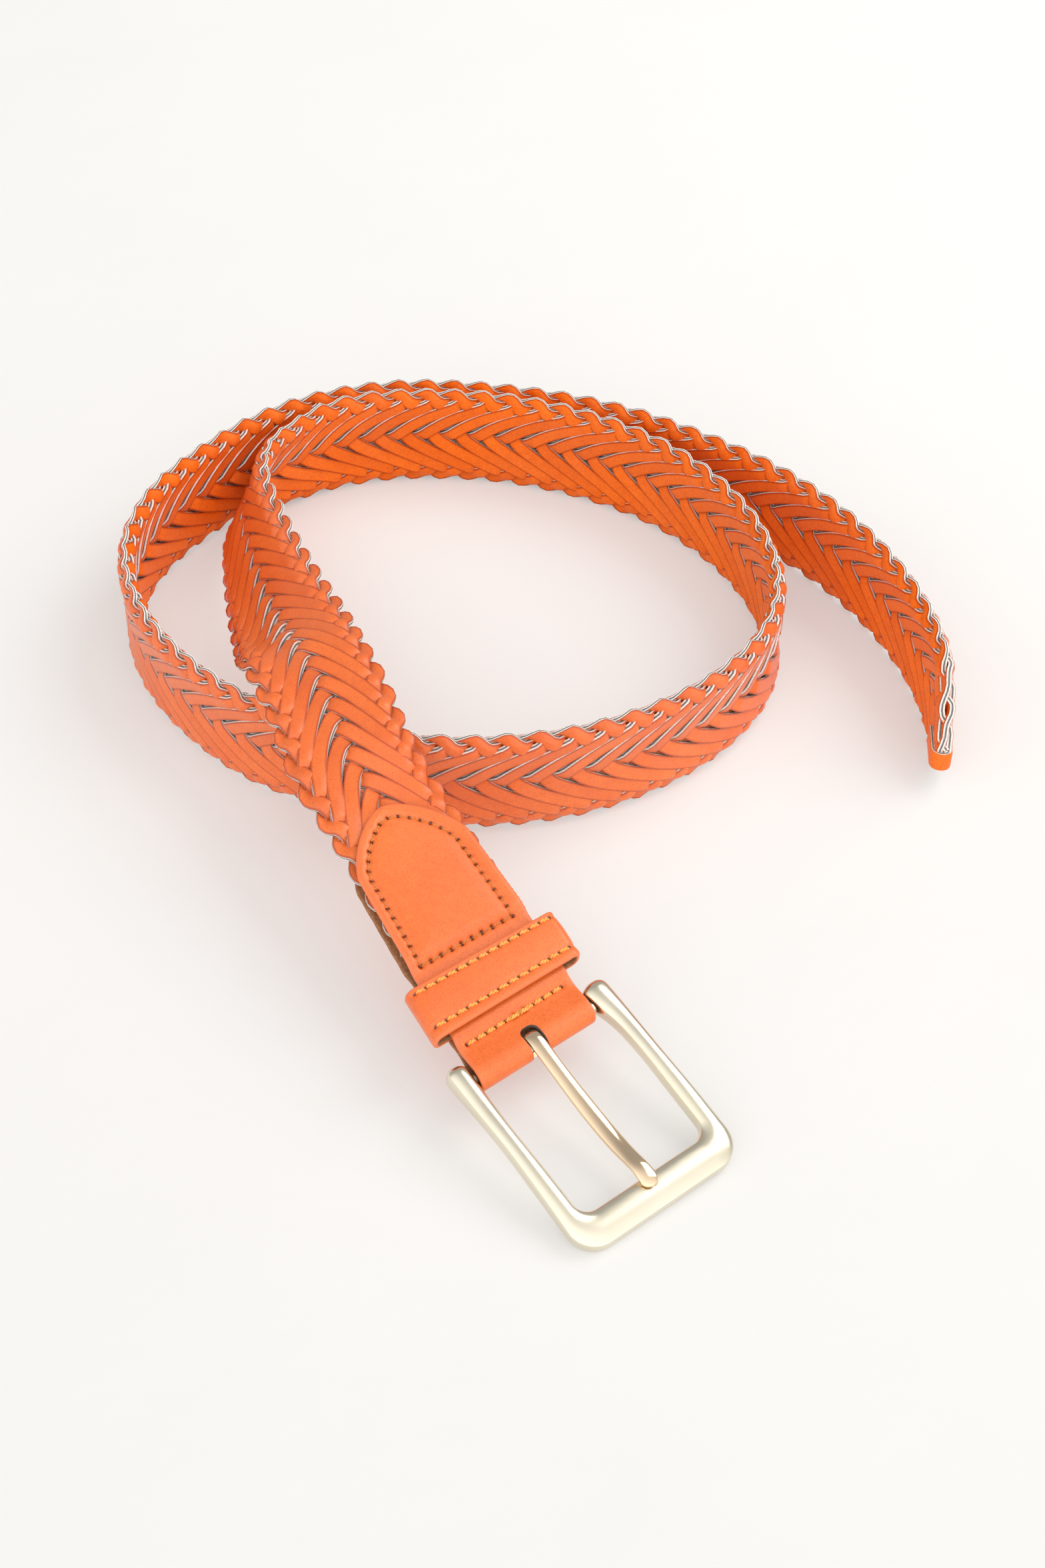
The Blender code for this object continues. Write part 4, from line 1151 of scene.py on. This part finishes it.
class Nodes:
    """Short way to build a material's node tree."""

    def __init__(self, name):
        self.material = bpy.data.materials.new(name)
        self.material.use_nodes = True
        self.tree = self.material.node_tree
        self.shader = self.tree.nodes["Principled BSDF"]

    def add(self, kind, values=(), **settings):
        node = self.tree.nodes.new(kind)
        for key, value in settings.items():
            setattr(node, key, value)
        for key, value in dict(values).items():
            self.connect(value, node.inputs[key])
        return node

    def connect(self, value, socket):
        if isinstance(value, bpy.types.NodeSocket):
            self.tree.links.new(value, socket)
        else:
            socket.default_value = value

    def set(self, key, value):
        self.connect(value, self.shader.inputs[key])

    def place(self):
        return self.add("ShaderNodeTexCoord").outputs["Object"]

    def value(self, name):
        return self.add("ShaderNodeAttribute", attribute_name=name).outputs["Fac"]

    def noise(self, scale, detail=2.0, roughness=0.5, vector=None):
        values = {"Scale": scale, "Detail": detail, "Roughness": roughness}
        values["Vector"] = vector if vector is not None else self.place()
        return self.add("ShaderNodeTexNoise", values).outputs["Fac"]

    def rescale(self, value, low, high, first=0.0, last=1.0):
        values = {"Value": value, "From Min": low, "From Max": high, "To Min": first, "To Max": last}
        return self.add("ShaderNodeMapRange", values).outputs["Result"]

    def mix(self, factor, first, second):
        node = self.add("ShaderNodeMix", data_type="RGBA")
        self.connect(factor, node.inputs["Factor"])
        for value, socket in ((first, node.inputs[6]), (second, node.inputs[7])):
            self.connect((*value, 1.0) if isinstance(value, tuple) else value, socket)
        return node.outputs[2]

    def maths(self, operation, first, second=0.0):
        node = self.add("ShaderNodeMath", operation=operation)
        self.connect(first, node.inputs[0])
        self.connect(second, node.inputs[1])
        return node.outputs[0]

    def bump(self, height, strength, distance):
        values = {"Strength": strength, "Distance": distance, "Height": height}
        return self.add("ShaderNodeBump", values).outputs["Normal"]


LEATHER = (0.84, 0.150, 0.018)
LEATHER_DARK = (0.60, 0.075, 0.008)
LEATHER_LIGHT = (0.88, 0.195, 0.035)
LEATHER_REAR = (0.97, 0.190, 0.008)
# Painted shade: the dark colour a strip's face takes along its long sides, in the gaps between strips.
PAINTED_CREVICE_SHADE = (0.34, 0.034, 0.005)
# Roughness of the leather's thin clear finish.
FINISH_ROUGHNESS = 0.30
PAINTED_EDGE = (0.86, 0.19, 0.06)
# Painted shade: the dark colour put into the needle holes, where shade falls inside them.
PAINTED_HOLE_SHADE = (0.17, 0.035, 0.012)


def grained_leather(m, base=LEATHER):
    """Colour and grain height of the smooth, finely speckled orange leather; sets its shine."""
    grain = m.noise(2500.0, 2.0, 0.5)
    patch = m.noise(38.0, 2.0)
    blotch = m.noise(420.0, 3.0, 0.6)
    tone = m.mix(m.rescale(patch, 0.3, 0.7, 0.0, 0.8), base, LEATHER_LIGHT)
    speck = m.rescale(grain, 0.34, 0.50, 0.50, 0.0)
    colour = m.mix(m.rescale(blotch, 0.42, 0.70, 0.0, 0.20), tone, LEATHER_DARK)
    colour = m.mix(speck, colour, LEATHER_DARK)
    m.set("Roughness", m.rescale(grain, 0.3, 0.7, 0.52, 0.42))
    m.shader.inputs["Specular IOR Level"].default_value = 0.45
    return colour, grain


def strip_face_material(name, base, specular, finish):
    """Leather face of a strip, with faint lengthwise creases, its own tone and painted shade along both
    long sides.
    """
    m = Nodes(name)
    colour, grain = grained_leather(m, base)
    along = m.maths("MULTIPLY", m.value("strip_along"), 45.0)
    across = m.maths("MULTIPLY", m.value("strip_across"), 3.2)
    place = m.add("ShaderNodeCombineXYZ", {"X": along, "Y": across}).outputs[0]
    crease = m.noise(1.0, 2.0, 0.5, place)
    line = m.rescale(m.maths("ABSOLUTE", m.maths("SUBTRACT", crease, 0.5)), 0.0, 0.018, 1.0, 0.0)
    colour = m.mix(m.maths("MULTIPLY", line, 0.25), colour, LEATHER_LIGHT)
    colour = m.mix(m.maths("MULTIPLY", m.value("strip_tone"), 0.28), colour, LEATHER_DARK)
    # Painted shade: the face darkens towards both long sides, where the strip meets its neighbours.
    painted_gap_shade = m.rescale(m.maths("ABSOLUTE", m.value("strip_across")), 0.68, 0.94, 0.0, 0.78)
    colour = m.mix(painted_gap_shade, colour, PAINTED_CREVICE_SHADE)
    m.set("Base Color", colour)
    m.shader.inputs["Specular IOR Level"].default_value = specular
    m.shader.inputs["Coat Weight"].default_value = finish
    m.shader.inputs["Coat Roughness"].default_value = FINISH_ROUGHNESS
    height = m.maths("SUBTRACT", grain, m.maths("MULTIPLY", line, 0.5))
    m.set("Normal", m.bump(height, 0.22, 0.0002))
    return m.material


def fibrous_material(name, colours, fibres, roughness, relief):
    """Fibres in two colours; fibres is their noise and relief is their bump."""
    m = Nodes(name)
    fibre = m.noise(*fibres)
    m.set("Base Color", m.mix(m.rescale(fibre, 0.35, 0.65), *colours))
    m.set("Roughness", roughness)
    m.set("Normal", m.bump(fibre, *relief))
    return m.material


def edge_material(name, *colours):
    """A fibrous layer in a strip's cut edge."""
    return fibrous_material(name, colours, (1500.0, 3.0, 0.7), 0.85, (0.4, 0.0001))


def thread_material(name, *colours):
    """Waxed thread: fine fibres and a soft shine."""
    return fibrous_material(name, colours, (2500.0, 2.0, 0.5), 0.5, (0.3, 0.0001))


def flesh_side_material():
    """The leather's brown flesh side."""
    colours = ((0.42, 0.19, 0.08), (0.26, 0.10, 0.04))
    return fibrous_material("flesh_side", colours, (900.0, 4.0, 0.75), 0.9, (0.6, 0.0003))


def tab_leather_material():
    """Smooth leather with painted edges, and painted shade darkening its needle holes."""
    m = Nodes("tab_leather_grain")
    colour, grain = grained_leather(m)
    rim = m.value("rim")
    colour = m.mix(m.maths("MULTIPLY", rim, 0.85), colour, PAINTED_EDGE)
    # Painted shade: inside each needle hole the leather darkens to the hole shade, with a ragged border.
    ragged = m.maths("SUBTRACT", m.noise(1300.0, 2.0), 0.5)
    pit = m.rescale(m.maths("ADD", m.value("pit"), ragged), 0.36, 0.58)
    m.set("Base Color", m.mix(pit, colour, PAINTED_HOLE_SHADE))
    m.shader.inputs["Coat Weight"].default_value = 0.45
    m.shader.inputs["Coat Roughness"].default_value = FINISH_ROUGHNESS
    calm = m.maths("MULTIPLY", grain, m.rescale(rim, 0.0, 1.0, 1.0, 0.2))
    m.set("Normal", m.bump(calm, 0.20, 0.0002))
    return m.material


def slot_rim_material():
    """Cut inside of the prong's slot."""
    m = Nodes("slot_rim")
    fibre = m.noise(1200.0, 3.0, 0.7)
    m.set("Base Color", m.mix(fibre, (0.10, 0.075, 0.075), (0.22, 0.16, 0.14)))
    m.set("Roughness", 0.8)
    return m.material


def metal_material(name, colour, shade, roughness, brushed):
    """Plated metal, with fine brushing across the satin parts."""
    m = Nodes(name)
    place = m.add("ShaderNodeMapping", {"Vector": m.place(), "Scale": (260.0, 260.0, 5200.0)}).outputs[0]
    streak = m.noise(1.0, 3.0, 0.6, place)
    cloud = m.noise(45.0, 2.0)
    m.set("Base Color", m.mix(m.rescale(cloud, 0.3, 0.7), colour, shade))
    m.set("Metallic", 1.0)
    m.set("Roughness", m.rescale(streak, 0.3, 0.7, roughness * 0.92, roughness * 1.1))
    m.set("Normal", m.bump(streak, brushed, 0.00002))
    return m.material


# ---------------------------------------------------------------- floor, light and camera


# Part of the floor's paleness is its own, so that shadows stay as faint as on a light table.
FLOOR_GLOW = 0.33

# Brightness of the room on the viewer's side, -Y, and behind the belt.
ROOM_IN_FRONT = 1.58
ROOM_BEHIND = 0.46


def build_stage():
    """Pale plaster table, the room round it and one large lamp."""
    half = 3.0
    mesh = bpy.data.meshes.new("floor")
    corners = [(-half, -half, 0.0), (half, -half, 0.0), (half, half, 0.0), (-half, half, 0.0)]
    mesh.from_pydata(corners, [], [(0, 1, 2, 3)])
    floor = bpy.data.objects.new("floor", mesh)
    bpy.context.scene.collection.objects.link(floor)
    m = Nodes("floor_plaster")
    broad = m.noise(9.0, 4.0, 0.55)
    fine = m.noise(55.0, 3.0, 0.6)
    m.set("Base Color", m.mix(broad, (0.52, 0.518, 0.51), (0.49, 0.487, 0.48)))
    m.set("Emission Color", (1.0, 0.995, 0.985, 1.0))
    m.set("Emission Strength", FLOOR_GLOW)
    m.set("Roughness", 0.85)
    height = m.maths("ADD", m.maths("MULTIPLY", broad, 0.8), m.maths("MULTIPLY", fine, 0.12))
    m.set("Normal", m.bump(height, 0.12, 0.01))
    mesh.materials.append(m.material)

    world = bpy.data.worlds.new("studio")
    bpy.context.scene.world = world
    world.use_nodes = True
    tree = world.node_tree
    background = tree.nodes["Background"]
    background.inputs["Color"].default_value = (1.0, 0.985, 0.965, 1.0)
    direction = tree.nodes.new("ShaderNodeTexCoord").outputs["Generated"]
    parts = tree.nodes.new("ShaderNodeSeparateXYZ")
    tree.links.new(direction, parts.inputs[0])
    strength = tree.nodes.new("ShaderNodeMapRange")
    strength.interpolation_type = "SMOOTHSTEP"
    limits = {"From Min": -0.7, "From Max": 0.55, "To Min": ROOM_IN_FRONT, "To Max": ROOM_BEHIND}
    for name, value in limits.items():
        strength.inputs[name].default_value = value
    tree.links.new(parts.outputs["Y"], strength.inputs["Value"])
    tree.links.new(strength.outputs["Result"], background.inputs["Strength"])
    add_area("key", (0.80, 0.40, 1.0), 0.9, 8.0, (1.0, 0.975, 0.94))


def add_area(name, place, size, power, colour):
    light = bpy.data.lights.new(name, "AREA")
    light.size = size
    light.energy = power
    light.color = colour
    obj = bpy.data.objects.new(name, light)
    obj.location = place
    obj.rotation_euler = (-Vector(place)).to_track_quat("-Z", "Y").to_euler()
    bpy.context.scene.collection.objects.link(obj)


def build_camera():
    """Camera in front of the belt, looking down on it."""
    elevation = math.radians(45.4)
    distance = 0.653
    target = Vector((*CENTRING, 0.0))
    camera = bpy.data.cameras.new("camera")
    camera.sensor_fit = "VERTICAL"
    camera.sensor_height = 24.0
    camera.lens = 35.7
    obj = bpy.data.objects.new("camera", camera)
    offset = Vector((0.0, -distance * math.cos(elevation), distance * math.sin(elevation)))
    obj.location = target + offset
    obj.rotation_euler = (0.5 * math.pi - elevation, 0.0, 0.0)
    bpy.context.scene.collection.objects.link(obj)
    bpy.context.scene.camera = obj


def main():
    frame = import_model()
    bpy.context.scene.view_settings.view_transform = "Standard"

    nickel = metal_material("satin_nickel", (0.82, 0.76, 0.62), (0.78, 0.72, 0.57), 0.22, 0.05)
    polished = metal_material("warm_plating", (0.84, 0.66, 0.46), (0.80, 0.62, 0.43), 0.11, 0.0)
    leather = [tab_leather_material(), flesh_side_material(), slot_rim_material()]
    gold_thread = thread_material("gold_thread", (0.93, 0.50, 0.12), (0.76, 0.33, 0.06))
    orange_thread = thread_material("orange_thread", (0.76, 0.25, 0.05), (0.54, 0.15, 0.03))
    strip_materials = [
        strip_face_material("strip_leather", LEATHER, 0.45, 0.45),
        edge_material("strip_edge_pale", (0.84, 0.81, 0.78), (0.66, 0.58, 0.52)),
        edge_material("strip_edge_core", (0.10, 0.105, 0.11), (0.20, 0.20, 0.19)),
        strip_face_material("strip_leather_rear", LEATHER_REAR, 0.12, 0.0),
    ]
    route = Route()
    build_braid(route, strip_materials)
    build_tail_wrap(route, strip_materials)
    build_tab(leather)
    build_tab_threads(orange_thread, gold_thread)
    build_keeper(leather)
    build_keeper_threads(gold_thread)
    build_lining(leather)
    build_frame(nickel)
    build_prong(polished)
    bar = frame["nodes"]["buckle_bar"]
    bar.data.materials.clear()
    bar.data.materials.append(nickel)

    build_stage()
    build_camera()


main()
